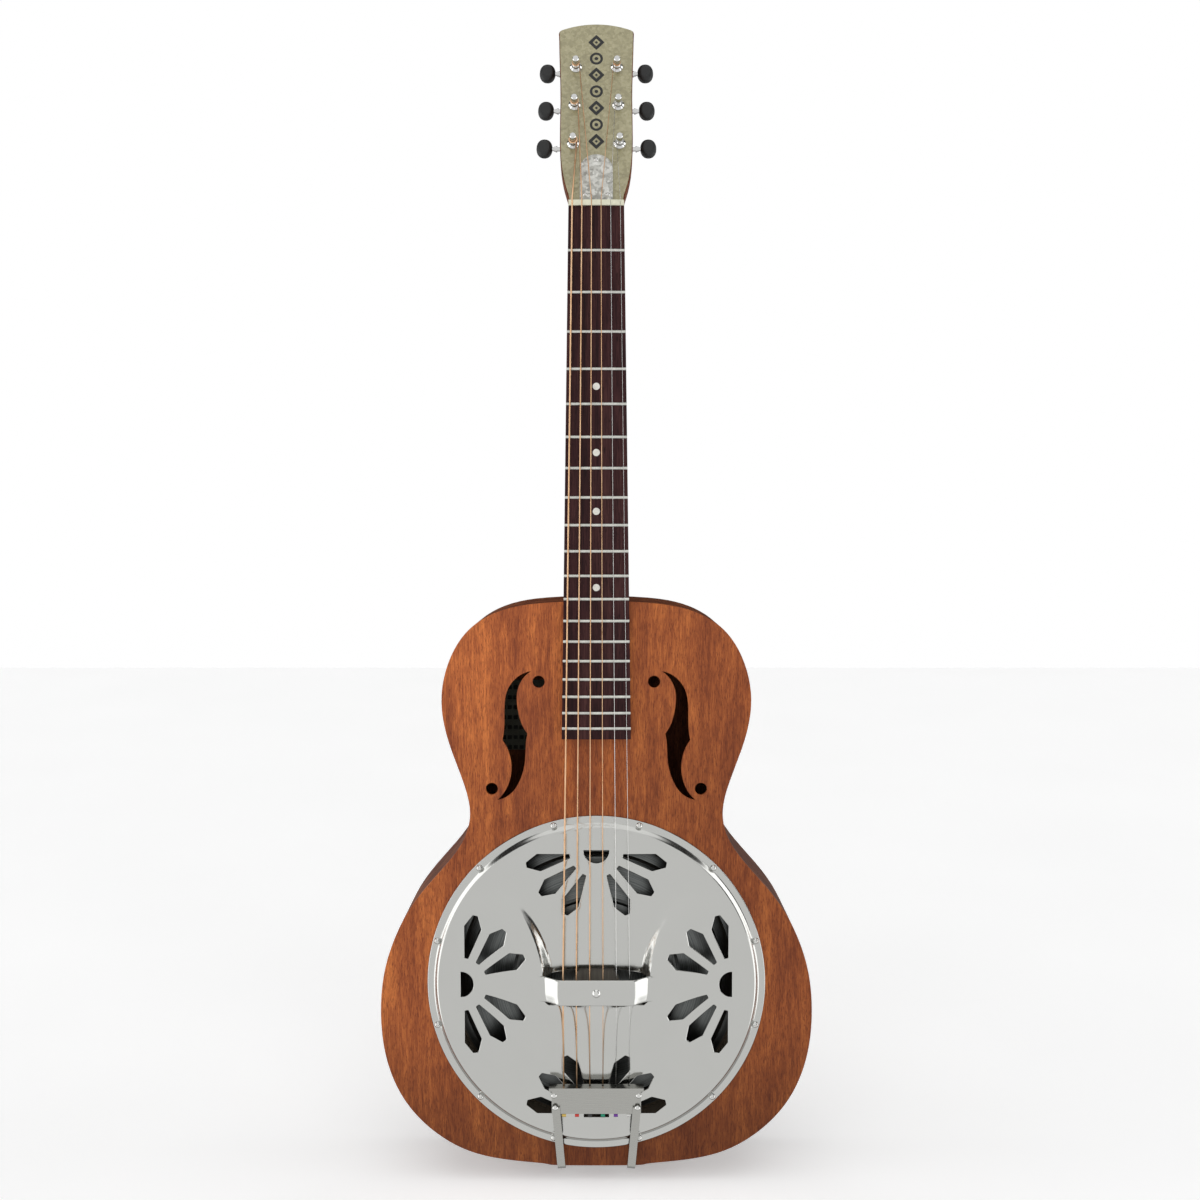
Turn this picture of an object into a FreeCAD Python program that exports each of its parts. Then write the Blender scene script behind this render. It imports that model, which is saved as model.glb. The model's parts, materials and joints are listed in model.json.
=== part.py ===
import FreeCAD, Part
import math
import os

# A round-neck, single-cone resonator guitar.
# Millimetres. +Z runs up the neck, the front faces -Y, and the bass strings are on
# the -X side. The origin is the strap button's seat, on the centreline of the tail,
# halfway through the depth of the body.

V = FreeCAD.Vector

# ---- driving dimensions -------------------------------------------------------

SCALE_LENGTH = 635.0
FRET_COUNT = 19
DOT_FRETS = (5, 7, 9, 12)

BODY_LENGTH = 474.0
BODY_DEPTH = 84.0
UPPER_HALF = 127.4
UPPER_Z = 391.0
WAIST_HALF = 104.5
WAIST_Z = 295.0
LOWER_HALF = 179.5
LOWER_Z = 132.0
PLATE = 3.0
SIDE = 2.4
LINING_WIDTH = 6.0
LINING_HEIGHT = 12.0
EDGE_ROUND = 0.8

FRONT = -BODY_DEPTH / 2
BACK = BODY_DEPTH / 2
INNER_FRONT = FRONT + PLATE
INNER_BACK = BACK - PLATE

JOINT_Z = 475.8
NECK_ANGLE = 1.6
HEAD_ANGLE = 14.0
TONGUE = 1.0
NUT_WIDTH = 45.0
JOINT_WIDTH = 53.4
BOARD_THICK = 6.0
BOARD_RADIUS = 400.0
BOARD_END = -114.4
BOARD_BEVEL = 0.6
FRET_WIDTH = 2.4
FRET_HEIGHT = 1.1
TANG_WIDTH = 0.5
TANG_DEPTH = 2.0
DOT_RADIUS = 2.9
DOT_DEPTH = 1.5
NUT_THICK = 4.3
NUT_HEIGHT = 8.3
NUT_S = SCALE_LENGTH / 2
NECK_DEPTH = 14.5
HEEL_DEPTH = 80.0

HEAD_THICK = 14.0
HEAD_LENGTH = 162.2
FACING = 1.6
FACING_INSET = 0.7
TRUSS_COVER_THICK = 1.8
TRUSS_DEPTH = 7.0
TRUSS_RADIUS = 2.5

COVER_Z = 156.5
COVER_RADIUS = 140.3
COVER_SHEET = 1.2
COVER_STEP_OUT = 133.6
COVER_STEP_IN = 130.0
COVER_RISE = 5.4
COVER_DOME = 2.4
COVER_SCREW_CIRCLE = 136.6
PETAL_CENTRE = 112.2
REST_HALF = 43.5
REST_FLAT_HALF = 31.0
REST_LOW = -10.4
REST_HIGH = 10.8
REST_TOP = 27.5
CREST_RISE = 9.5

WELL_INNER = 122.5
WELL_OUTER = 130.0
WELL_FLANGE = 142.0
LEDGE_DEPTH = 21.0
CONE_RADIUS = 120.6
CONE_SHEET = 0.8
CONE_TOP = -1.4
BISCUIT_RADIUS = 19.0
BISCUIT_THICK = 6.4
SADDLE_HALF = 30.0
SADDLE_THICK = 3.0

STRING_RADII = (0.675, 0.535, 0.405, 0.305, 0.205, 0.152)
WOUND_COUNT = 4
NUT_SPREAD = 19.4
SADDLE_SPREAD = 27.3
TAIL_SPREAD = 26.8
NUT_ACTION = 7.5
SADDLE_ACTION = 11.2

TAIL_Z = 62.0
TAIL_HEIGHT = 11.2
TAIL_SLOPE = 5.6
TAIL_HALF = 36.8
TAIL_LIP_HALF = 39.0

POST_T = (51.4, 86.4, 121.4)
POST_X = (19.0, 17.97, 16.95)
PLATE_SLANT = 1.68
POST_RADIUS = 2.9
POST_TOP = 14.6
TUNER_PLATE = 1.2
GEAR_TEETH = 14
GEAR_PITCH = 4.2
WORM_PITCH = 2.0
TOOTH_HALF_DEPTH = 0.42
GEAR_THICK = 3.6
GEAR_LEVEL = -18.0
CENTRE_DISTANCE = GEAR_PITCH + WORM_PITCH
WORM_LEAD = 2 * math.pi * GEAR_PITCH / GEAR_TEETH
BUTTON_X = 24.4

SIDES = (("bass", -1), ("treble", 1))
PLACES = ("low", "mid", "top")


# ---- helpers ------------------------------------------------------------------

def box(low, high):
    """A box between two opposite corners."""
    size = V(*high) - V(*low)
    return Part.makeBox(size.x, size.y, size.z, V(*low))


def rod(radius, start, end):
    """A cylinder between two points."""
    start = V(*start)
    axis = V(*end) - start
    return Part.makeCylinder(radius, axis.Length, start, axis)


def spline(points, first=None, last=None):
    """A smooth curve through points, with end directions if they are given."""
    curve = Part.BSplineCurve()
    if first is None:
        curve.interpolate(Points=points)
    else:
        curve.interpolate(Points=points, InitialTangent=first, FinalTangent=last)
    return curve


def front_points(pairs):
    """Points in the plane of the front from (x, z) pairs."""
    return [V(x, 0, z) for x, z in pairs]


def mirrored(shape):
    """The same shape on the other side of the centreline."""
    return shape.mirror(V(0, 0, 0), V(1, 0, 0))


def both_sides(shape):
    """A shape and its mirror image as one list."""
    return [shape, mirrored(shape)]


def sheet(wire, y_low, y_high):
    """A plate whose outline is a wire drawn in the plane y = 0."""
    face = Part.Face(wire)
    face.translate(V(0, y_low, 0))
    return face.extrude(V(0, y_high - y_low, 0))


def polygon(points):
    """A closed wire with straight sides."""
    return Part.makePolygon(list(points) + [points[0]])


def turned(profile, centre, axis):
    """A solid of revolution from a closed wire."""
    return Part.Face(profile).revolve(centre, axis, 360)


def joined(shapes):
    """One solid from touching or overlapping solids."""
    return shapes[0].fuse(shapes[1:]).removeSplitter()


def group(shapes):
    """Several separate solids that share one node."""
    solids = []
    for shape in shapes:
        solids.extend(shape.Solids)
    return Part.makeCompound(solids)


def cover_height(height):
    """The y of a level measured out from the face of the soundboard."""
    return FRONT - height


def in_neck(shape):
    """Move a shape drawn on the fingerboard's glue plane into place.

    Drawn with x across, -y out of the board and z up the neck from the twelfth fret.
    """
    shape = shape.copy()
    shape.rotate(V(0, 0, 0), V(1, 0, 0), -NECK_ANGLE)
    shape.translate(V(0, FRONT - TONGUE, JOINT_Z))
    return shape


def in_head(shape):
    """Move a shape drawn on the headstock's face into place.

    Drawn with x across, -y out of the face and z up from the back of the nut.
    """
    shape = shape.copy()
    shape.rotate(V(0, 0, 0), V(1, 0, 0), -HEAD_ANGLE)
    shape.translate(V(0, 0, NUT_S + NUT_THICK))
    return in_neck(shape)


def neck_point(x, out, along):
    """A point given in the neck's own directions."""
    return in_neck(Part.Vertex(x, -out, along)).Point


def head_point(x, out, along):
    """A point given in the headstock's own directions."""
    return in_head(Part.Vertex(x, -out, along)).Point


def fret_position(number):
    """Distance of a fret up the neck from the twelfth."""
    return SCALE_LENGTH * 2 ** (-number / 12) - SCALE_LENGTH / 2


def board_half(along):
    """Half the width of the fingerboard at a distance up the neck."""
    return (JOINT_WIDTH + (NUT_WIDTH - JOINT_WIDTH) * along / NUT_S) / 2


def spread(half_width, index):
    """Sideways place of one of six evenly spaced strings."""
    return half_width * (2 * index / 5 - 1)


# ---- body ---------------------------------------------------------------------

def half_outline():
    """The treble half of the body's outline, from the neck round to the tail."""
    points = front_points([
        (0, BODY_LENGTH),
        (40, BODY_LENGTH - 1.2),
        (75, BODY_LENGTH - 6.8),
        (0.823 * UPPER_HALF, UPPER_Z + 59.2),
        (0.950 * UPPER_HALF, UPPER_Z + 33.5),
        (UPPER_HALF, UPPER_Z),
        (0.951 * UPPER_HALF, UPPER_Z - 34.9),
        (1.053 * WAIST_HALF, WAIST_Z + 30),
        (WAIST_HALF, WAIST_Z),
        (1.031 * WAIST_HALF, WAIST_Z - 14),
        (1.158 * WAIST_HALF, WAIST_Z - 35.4),
        (0.769 * LOWER_HALF, LOWER_Z + 108),
        (0.858 * LOWER_HALF, LOWER_Z + 87.5),
        (0.927 * LOWER_HALF, LOWER_Z + 64.1),
        (0.981 * LOWER_HALF, LOWER_Z + 34),
        (LOWER_HALF, LOWER_Z),
        (0.972 * LOWER_HALF, LOWER_Z - 43),
        (0.877 * LOWER_HALF, LOWER_Z - 80),
        (0.697 * LOWER_HALF, LOWER_Z - 110.1),
        (85, 6.7),
        (43, 1.6),
        (0, 0),
    ])
    return spline(points, V(1, 0, 0), V(-1, 0, 0))


def inset_half(distance, steps=48):
    """The half outline moved inwards by a distance."""
    curve = half_outline()
    if distance == 0:
        return curve
    points = []
    for step in range(steps + 1):
        place = curve.FirstParameter + (curve.LastParameter - curve.FirstParameter) * step / steps
        along = curve.tangent(place)[0]
        points.append(curve.value(place) + V(along.z, 0, -along.x) * distance)
    points[0].x = 0
    points[-1].x = 0
    return spline(points, V(1, 0, 0), V(-1, 0, 0))


def body_wire(distance=0.0):
    """The whole outline of the body, moved inwards by a distance."""
    right = inset_half(distance).toShape()
    return Part.Wire([right, mirrored(right)])


def body_prism(distance, y_low, y_high):
    """The outline of the body as a solid."""
    return sheet(body_wire(distance), y_low, y_high)


def f_hole():
    """Cutter for the treble f-hole with its two round eyes."""
    top = (53.5, 416.4)
    outer_notch = (77.4, 359.4)
    bottom = (81.5, 309.7)
    inner_notch = (56.7, 364.8)
    runs = [
        [top, (66.0, 410.6), (73.0, 401.0), (75.6, 386.0), (75.8, 371.0), outer_notch],
        [outer_notch, (72.7, 351.0), (70.1, 340.0), (70.6, 329.4), (74.4, 318.7), bottom],
        [bottom, (68.3, 317.1), (62.2, 328.0), (59.0, 340.2), (58.2, 354.0), inner_notch],
        [inner_notch, (61.9, 374.0), (64.8, 386.2), (65.2, 398.4), (61.6, 408.4), top],
    ]
    wire = Part.Wire([spline(front_points(run)).toShape() for run in runs])
    slot = sheet(wire, FRONT - 1, INNER_FRONT + 1)
    upper_eye = rod(5.0, (47.4, FRONT - 1, 407.7), (47.4, INNER_FRONT + 1, 407.7))
    lower_eye = rod(5.0, (86.2, FRONT - 1, 319.0), (86.2, INNER_FRONT + 1, 319.0))
    return [slot, upper_eye, lower_eye]


def ring_places(radius, angles, level):
    """Points on a circle about the cone's axis; angles start at the neck side."""
    places = []
    for angle in angles:
        turn = math.radians(angle)
        x = radius * math.sin(turn)
        z = COVER_Z + radius * math.cos(turn)
        places.append(V(x, cover_height(level), z))
    return places


def cover_screw_angles():
    """Directions of the coverplate's rim screws."""
    return [15 + 30 * step for step in range(12)]


def screw_holes(radius, level_top, level_bottom):
    """Cutters for the coverplate's rim screws."""
    holes = []
    for place in ring_places(COVER_SCREW_CIRCLE, cover_screw_angles(), level_top):
        end = place + V(0, level_top - level_bottom, 0)
        holes.append(rod(radius, place, end))
    return holes


def eased(plate, y_outer):
    """Round over the outer edge of the top or back."""
    edges = []
    for edge in plate.Edges:
        limits = edge.BoundBox
        flat = limits.YLength < 0.01 and abs(limits.YMin - y_outer) < 0.01
        if flat and limits.ZLength > 0.9 * BODY_LENGTH:
            edges.append(edge)
    return plate.makeFillet(EDGE_ROUND, edges)


def soundboard():
    """The top, with its f-holes and the opening for the cone."""
    plate = eased(body_prism(0, FRONT, INNER_FRONT), FRONT)
    cone_hole = rod(WELL_INNER, (0, FRONT - 1, COVER_Z), (0, INNER_FRONT + 1, COVER_Z))
    cutters = [cone_hole] + screw_holes(1.3, 5, -10)
    for tool in f_hole():
        cutters.extend(both_sides(tool))
    return plate.cut(cutters)


def back_board():
    """The flat back."""
    return eased(body_prism(0, INNER_BACK, BACK), BACK)


def side(sign):
    """One bent rib, from the neck block round to the tail."""
    ring = body_prism(0, INNER_FRONT, INNER_BACK).cut(body_prism(SIDE, INNER_FRONT, INNER_BACK))
    if sign > 0:
        half = box((0, FRONT, -10), (LOWER_HALF + 10, BACK, BODY_LENGTH + 10))
    else:
        half = box((-LOWER_HALF - 10, FRONT, -10), (0, BACK, BODY_LENGTH + 10))
    return ring.common(half).cut([tenon(), button_screw_hole()])


def tenon():
    """The neck's tenon, let into the neck block."""
    return box((-13, INNER_FRONT, BODY_LENGTH - 24), (13, 28, BODY_LENGTH + 2))


def button_screw_hole():
    """Space taken by the strap button's screw."""
    return rod(2.5, (0, 0, -5), (0, 0, 28))


def neck_block():
    """The block that the neck's tenon is glued into."""
    inside = body_prism(SIDE, INNER_FRONT, INNER_BACK)
    block = box((-32, INNER_FRONT, BODY_LENGTH - 52), (32, INNER_BACK, BODY_LENGTH))
    return block.common(inside).cut(tenon())


def tail_block():
    """The block that takes the strap button's screw."""
    inside = body_prism(SIDE, INNER_FRONT, INNER_BACK)
    block = box((-32, INNER_FRONT, 0), (32, INNER_BACK, 14))
    return block.common(inside).cut([button_screw_hole(), well_space()])


def linings():
    """Four glue strips, along both edges of both ribs."""
    strips = []
    blocks = [
        box((-32, FRONT, BODY_LENGTH - 52), (32, BACK, BODY_LENGTH)),
        box((-32, FRONT, 0), (32, BACK, 14)),
    ]
    for y_low in (INNER_FRONT, INNER_BACK - LINING_HEIGHT):
        outer = body_prism(SIDE, y_low, y_low + LINING_HEIGHT)
        inner = body_prism(SIDE + LINING_WIDTH, y_low, y_low + LINING_HEIGHT)
        strips.append(outer.cut([inner] + blocks))
    return group(strips)


def back_braces():
    """Three bars across the inside of the back."""
    bars = []
    inside = body_prism(SIDE + LINING_WIDTH + 0.5, FRONT, BACK)
    for z in (88, 225, 415):
        profile = polygon([
            V(-200, INNER_BACK, z - 6),
            V(-200, INNER_BACK, z + 6),
            V(-200, INNER_BACK - 7, z + 4),
            V(-200, INNER_BACK - 10, z),
            V(-200, INNER_BACK - 7, z - 4),
        ])
        bars.append(Part.Face(profile).extrude(V(400, 0, 0)).common(inside))
    return group(bars)


def maker_label():
    """A paper label glued to the back under the bass f-hole."""
    return box((-104, INNER_BACK - 0.3, 338), (-46, INNER_BACK, 400))


# ---- sound well, cone and saddle ----------------------------------------------

def revolved(pairs):
    """A solid turned about the cone's axis from (radius, level) corners."""
    points = [V(radius, cover_height(level), COVER_Z) for radius, level in pairs]
    return turned(polygon(points), V(0, 0, COVER_Z), V(0, 1, 0))


def well_space():
    """Room kept for the sound well."""
    top = -PLATE
    return rod(WELL_FLANGE, (0, cover_height(top), COVER_Z), (0, cover_height(top - 6), COVER_Z))


def sound_well():
    """The ring under the top that carries the cone on an inner ledge."""
    ring = revolved([
        (WELL_INNER, -PLATE),
        (WELL_FLANGE, -PLATE),
        (WELL_FLANGE, -PLATE - 6),
        (WELL_OUTER, -PLATE - 6),
        (WELL_OUTER, -LEDGE_DEPTH - 6),
        (WELL_INNER - 9.5, -LEDGE_DEPTH - 6),
        (WELL_INNER - 9.5, -LEDGE_DEPTH),
        (WELL_INNER, -LEDGE_DEPTH),
    ])
    ports = []
    for place in ring_places(WELL_INNER - 2, [30 * step for step in range(12)], -14):
        outward = (place - V(0, place.y, COVER_Z)).normalize()
        ports.append(rod(3.5, place, place + outward * 12))
    return ring.cut(ports + screw_holes(1.3, 5, -9))


def cone_level(radius):
    """Height of the cone's skin over the flat rim, rising towards the middle."""
    rise = (CONE_RADIUS - 7.5 - radius) / (CONE_RADIUS - 7.5 - 22)
    return -LEDGE_DEPTH + 1.8 + (CONE_TOP + LEDGE_DEPTH - 1.8) * rise ** 0.9


def resonator_cone():
    """The spun aluminium cone: a flat rim, two pressed ridges and a flat middle."""
    slope = [(CONE_RADIUS - 7.5, cone_level(CONE_RADIUS - 7.5))]
    for ridge in (104, 68):
        slope.append((ridge + 2.2, cone_level(ridge + 2.2)))
        slope.append((ridge, cone_level(ridge) + 1.4))
        slope.append((ridge - 2.2, cone_level(ridge - 2.2)))
    slope.append((45, cone_level(45)))
    slope.append((22, CONE_TOP))
    slope.append((0, CONE_TOP))
    under = [(radius, level - CONE_SHEET) for radius, level in reversed(slope)]
    rim_top = [(CONE_RADIUS, -LEDGE_DEPTH + CONE_SHEET), (CONE_RADIUS - 5.5, -LEDGE_DEPTH + CONE_SHEET)]
    rim_under = [(CONE_RADIUS - 6.2, -LEDGE_DEPTH), (CONE_RADIUS, -LEDGE_DEPTH)]
    skin = revolved(rim_top + slope + under + rim_under)
    return skin.cut(rod(1.6, (0, cover_height(5), COVER_Z), (0, cover_height(-9), COVER_Z)))


def biscuit():
    """The maple disc on top of the cone, slotted for the saddle."""
    bottom = (0, cover_height(CONE_TOP), COVER_Z)
    top = (0, cover_height(CONE_TOP + BISCUIT_THICK), COVER_Z)
    return rod(BISCUIT_RADIUS, bottom, top).cut([saddle_blank(), biscuit_screw()])


def saddle_blank():
    """The saddle before its string notches are cut: a tongue under a wider blade."""
    top = CONE_TOP + BISCUIT_THICK
    half = SADDLE_THICK / 2
    tongue = box((-15, cover_height(top + 1), COVER_Z - half), (15, cover_height(top - 3), COVER_Z + half))
    crown = neck_point(0, SADDLE_ACTION + 0.4, -SCALE_LENGTH / 2 - 2.2)
    centre = V(0, crown.y + BOARD_RADIUS, COVER_Z - half)
    blade_low = (-SADDLE_HALF, crown.y - 1, COVER_Z - half)
    blade_high = (SADDLE_HALF, cover_height(top), COVER_Z + half)
    crowned = Part.makeCylinder(BOARD_RADIUS, SADDLE_THICK, centre, V(0, 0, 1))
    shoulder = polygon([
        V(SADDLE_HALF + 1, cover_height(top), COVER_Z - half - 1),
        V(SADDLE_HALF + 1, cover_height(top + 10), COVER_Z - half - 1),
        V(SADDLE_HALF - 3, cover_height(top + 7), COVER_Z - half - 1),
        V(17, cover_height(top), COVER_Z - half - 1),
    ])
    corner = Part.Face(shoulder).extrude(V(0, 0, SADDLE_THICK + 2))
    blade = box(blade_low, blade_high).common(crowned).cut(both_sides(corner))
    return joined([blade, tongue])


def saddle():
    """The saddle that carries the strings over the biscuit, notched for each one."""
    notches = []
    for index in range(6):
        seat = string_path(index)[1]
        radius = STRING_RADII[index] + 0.12
        notches.append(rod(radius, seat - V(0, 0, 5), seat + V(0, 0, 5)))
        notches.append(box(seat - V(radius, 5, 5), seat + V(radius, 0, 5)))
    return saddle_blank().cut(notches)


def biscuit_screw():
    """The screw that holds the cone and the biscuit together."""
    under = CONE_TOP - CONE_SHEET
    head = rod(3.5, (0, cover_height(under), COVER_Z), (0, cover_height(under - 2), COVER_Z))
    shank = rod(1.6, (0, cover_height(under), COVER_Z), (0, cover_height(CONE_TOP + 3.2), COVER_Z))
    slot = box((-4, cover_height(under - 1.2), COVER_Z - 0.4), (4, cover_height(under - 3), COVER_Z + 0.4))
    return joined([head, shank]).cut(slot)


# ---- coverplate ---------------------------------------------------------------

def crest_x(w):
    """Distance of a mound's crest from the centreline, w above the plate's middle."""
    if w >= 0:
        return REST_HALF + 0.07 * w + 0.0050 * max(0.0, w - 9) ** 2
    return REST_HALF + 0.0050 * max(0.0, -w - 9) ** 2


def crest_rise(w):
    """Height of a mound's crest over the plate."""
    if w >= 0:
        return CREST_RISE * max(0.0, 1 - (w / 71) ** 2)
    return CREST_RISE * max(0.0, 1 - (w / 84) ** 2) ** 1.5


def smooth(value):
    """Ease from 0 to 1 with level ends."""
    value = min(1.0, max(0.0, value))
    return value * value * (3 - 2 * value)


def mound(x, w):
    """Height that the raised mounds beside the handrest add to the plate."""
    crest = crest_x(w)
    wall = 7.8 + 2.6 * max(0.0, -w - 5)
    share = min(1.0, max(0.0, (abs(x) - crest + wall) / wall))
    rise = 0.5 * smooth(share) + 0.5 * share ** 1.3
    fall = 1 - smooth((abs(x) - crest) / 46)
    return crest_rise(w) * rise * fall


def plate_level(x, w):
    """Level of the coverplate's outer face inside the rim step."""
    radius = math.hypot(x, w)
    dome = COVER_DOME * (1 - (radius / COVER_STEP_IN) ** 2)
    return COVER_RISE + dome + mound(x, w)


def plate_skin():
    """The face of the coverplate inside the rim step, as one smooth sheet."""
    reach = 132.0
    steps = 66
    grid = []
    for row in range(steps + 1):
        w = reach * (2 * row / steps - 1)
        line = []
        for column in range(steps + 1):
            x = reach * (2 * column / steps - 1)
            line.append(V(x, cover_height(plate_level(x, w)), COVER_Z + w))
        grid.append(line)
    surface = Part.BSplineSurface()
    surface.interpolate(grid)
    disc = rod(COVER_STEP_IN, (0, cover_height(60), COVER_Z), (0, cover_height(-20), COVER_Z))
    return surface.toShape().common(disc)


def petal(angle):
    """One petal-shaped hole, pointing away from its half-round centre hole."""
    corners = [(22.5, 1.45), (48.6, 7.1), (58.8, 2.0), (58.8, -2.0), (48.6, -7.1), (22.5, -1.45)]
    turn = math.radians(angle)
    points = []
    for out, across in corners:
        x = out * math.cos(turn) - across * math.sin(turn)
        w = out * math.sin(turn) + across * math.cos(turn)
        points.append(V(x, cover_height(40), PETAL_CENTRE - w))
    return Part.Face(polygon(points)).extrude(V(0, 50, 0))


def petal_group():
    """The seven holes of one group, for the group nearest the neck."""
    level = cover_height(40)
    half_disc = rod(10.5, (0, level, PETAL_CENTRE), (0, level + 50, PETAL_CENTRE))
    half_disc = half_disc.cut(box((-20, level - 1, PETAL_CENTRE), (20, level + 51, PETAL_CENTRE + 20)))
    petals = [petal(angle) for angle in (12, 38, 64, 116, 142, 168)]
    return [half_disc] + petals


def cover_holes():
    """Cutters for the four groups of holes in the coverplate."""
    cutters = []
    for quarter in range(4):
        for tool in petal_group():
            tool = tool.copy()
            tool.rotate(V(0, 0, 0), V(0, 1, 0), 90 * quarter)
            tool.translate(V(0, 0, COVER_Z))
            cutters.append(tool)
    return cutters


def rest_opening():
    """The opening in the plate under the handrest, bowed along its upper edge."""
    ends = REST_HALF - 0.6
    upper = Part.Arc(
        V(-ends, 0, COVER_Z + 9.0),
        V(0, 0, COVER_Z + 14.3),
        V(ends, 0, COVER_Z + 9.0),
    ).toShape()
    rest = Part.makePolygon([
        V(ends, 0, COVER_Z + 9.0),
        V(ends, 0, COVER_Z - 9.5),
        V(ends - 4, 0, COVER_Z - 13.5),
        V(-ends + 4, 0, COVER_Z - 13.5),
        V(-ends, 0, COVER_Z - 9.5),
        V(-ends, 0, COVER_Z + 9.0),
    ])
    return sheet(Part.Wire([upper] + rest.Edges), cover_height(60), cover_height(-5))


def handrest():
    """The arched bridge over the saddle that the palm rests on."""
    foot = plate_level(REST_HALF + 1.2, 0) - COVER_SHEET - 0.4
    outer = [
        V(REST_HALF + 1.6, cover_height(foot), 0),
        V(REST_HALF + 0.4, cover_height(foot + 2.6), 0),
        V(REST_FLAT_HALF + 1.6, cover_height(REST_TOP - 1.6), 0),
        V(REST_FLAT_HALF - 1.6, cover_height(REST_TOP), 0),
    ]
    left = [V(-p.x, p.y, 0) for p in reversed(outer)]
    inner = [
        V(-REST_FLAT_HALF + 1.0, cover_height(REST_TOP - COVER_SHEET), 0),
        V(-REST_FLAT_HALF - 0.8, cover_height(REST_TOP - 2.2), 0),
        V(-REST_HALF + 1.0, cover_height(foot + 2.0), 0),
        V(-REST_HALF + 0.2, cover_height(foot), 0),
    ]
    right = [V(-p.x, p.y, 0) for p in reversed(inner)]
    arch = Part.Face(polygon(outer + left + inner[::-1] + right[::-1]))
    arch.translate(V(0, 0, COVER_Z + REST_LOW))
    return arch.extrude(V(0, 0, REST_HIGH - REST_LOW))


def rim_ring():
    """The coverplate's flat flange and the step up to its face."""
    return revolved([
        (COVER_RADIUS, 0.0),
        (COVER_RADIUS, COVER_SHEET - 0.4),
        (COVER_RADIUS - 0.5, COVER_SHEET),
        (COVER_STEP_OUT, COVER_SHEET),
        (COVER_STEP_IN + 1.4, COVER_RISE - 0.3),
        (COVER_STEP_IN + 0.6, COVER_RISE + 0.35),
        (COVER_STEP_IN - 0.8, COVER_RISE + 0.35),
        (COVER_STEP_IN - 0.8, COVER_RISE - COVER_SHEET - 0.3),
        (COVER_STEP_IN + 0.4, COVER_RISE - COVER_SHEET - 0.3),
        (COVER_STEP_OUT - 1.2, 0.0),
    ])


def coverplate():
    """The pressed coverplate with its rim, holes, mounds and handrest."""
    skin = plate_skin().cut(cover_holes() + [rest_opening()])
    face = skin.Faces[0].extrude(V(0, COVER_SHEET, 0))
    plate = face.fuse([rim_ring(), handrest()])
    hole_start = (0, cover_height(REST_TOP + 1), COVER_Z)
    hole_end = (0, cover_height(REST_TOP - 4), COVER_Z)
    return plate.cut(screw_holes(1.3, 5, -1) + [rod(1.3, hole_start, hole_end)])


def dome_head(radius, height, base, outward):
    """A round screw head standing on a point."""
    ball = (radius * radius + height * height) / (2 * height)
    centre = base - outward * (ball - height)
    keep = Part.makeCylinder(radius, height + 1, base, outward)
    return Part.makeSphere(ball, centre).common(keep)


def round_screw(radius, height, shank, length, base, outward):
    """A round-headed screw: head on a point, shank going in behind it."""
    head = dome_head(radius, height, base, outward)
    pin = Part.makeCylinder(shank, length, base, outward * -1)
    return joined([head, pin])


def cross_slot(radius, depth, base, outward, across):
    """A cross-shaped driver slot cut into a screw head."""
    other = outward.cross(across)
    bars = []
    for along, width in ((across, other), (other, across)):
        corner = base - along * radius - width * 0.3
        points = [
            corner,
            corner + along * radius * 2,
            corner + along * radius * 2 + width * 0.6,
            corner + width * 0.6,
        ]
        bars.append(Part.Face(polygon(points)).extrude(outward * depth))
    return bars


def coverplate_screws():
    """Twelve rim screws and the one in the middle of the handrest."""
    outward = V(0, -1, 0)
    screws = []
    for place in ring_places(COVER_SCREW_CIRCLE, cover_screw_angles(), COVER_SHEET):
        screw = round_screw(2.8, 2.1, 1.3, COVER_SHEET + 8, place, outward)
        slots = cross_slot(1.5, 3, place + outward * 1.2, outward, V(1, 0, 0))
        screws.append(screw.cut(slots))
    top = V(0, cover_height(REST_TOP), COVER_Z)
    screws.append(round_screw(3.4, 2.0, 1.3, 3.4, top, outward))
    return group(screws)


# ---- neck ---------------------------------------------------------------------

def d_section(half_width, depth, fullness, place):
    """A D-shaped section, flat on the front, put into space by a function."""
    points = []
    for step in range(13):
        turn = math.pi * step / 12
        across = math.cos(turn)
        down = math.sin(turn)
        x = half_width * math.copysign(abs(across) ** (2 / fullness), across)
        points.append(place(x, -depth * down ** (2 / fullness)))
    curve = spline(points).toShape()
    return Part.Wire([curve, Part.makeLine(points[-1], points[0])])


def neck_shaft():
    """The rounded neck from the heel to the headstock."""
    sections = []
    for along, depth in ((-4, 19.0), (90, 17.5), (200, 16.0), (300, NECK_DEPTH)):
        sections.append(d_section(board_half(along), depth, 2.2, lambda x, n, s=along: neck_point(x, n, s)))
    shaft = Part.makeLoft(sections, True, False)
    nut_back = NUT_S + NUT_THICK
    start = d_section(board_half(300), NECK_DEPTH, 2.2, lambda x, n: neck_point(x, n, 300))
    blend = d_section(board_half(nut_back), NECK_DEPTH + 1.2, 3.0, lambda x, n: neck_point(x, n, nut_back))
    end = d_section(25.5, HEAD_THICK, 6.0, lambda x, n: head_point(x, n, 18))
    throat = Part.makeLoft([start, blend, end], True, True)
    return [shaft, throat]


def neck_heel():
    """The heel, deep at the body and swept into the neck."""
    sections = []
    levels = ((6, 25.6, 70), (16, 24.6, 50), (34, 20, 31), (56, 15, 22), (HEEL_DEPTH, 12, 18))
    for depth, half, reach in levels:
        points = []
        for step in range(13):
            turn = math.pi * step / 12
            points.append(neck_point(half * math.cos(turn), -depth, -8 + (reach + 8) * math.sin(turn)))
        curve = spline(points).toShape()
        sections.append(Part.Wire([curve, Part.makeLine(points[-1], points[0])]))
    return Part.makeLoft(sections, True, False)


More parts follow.
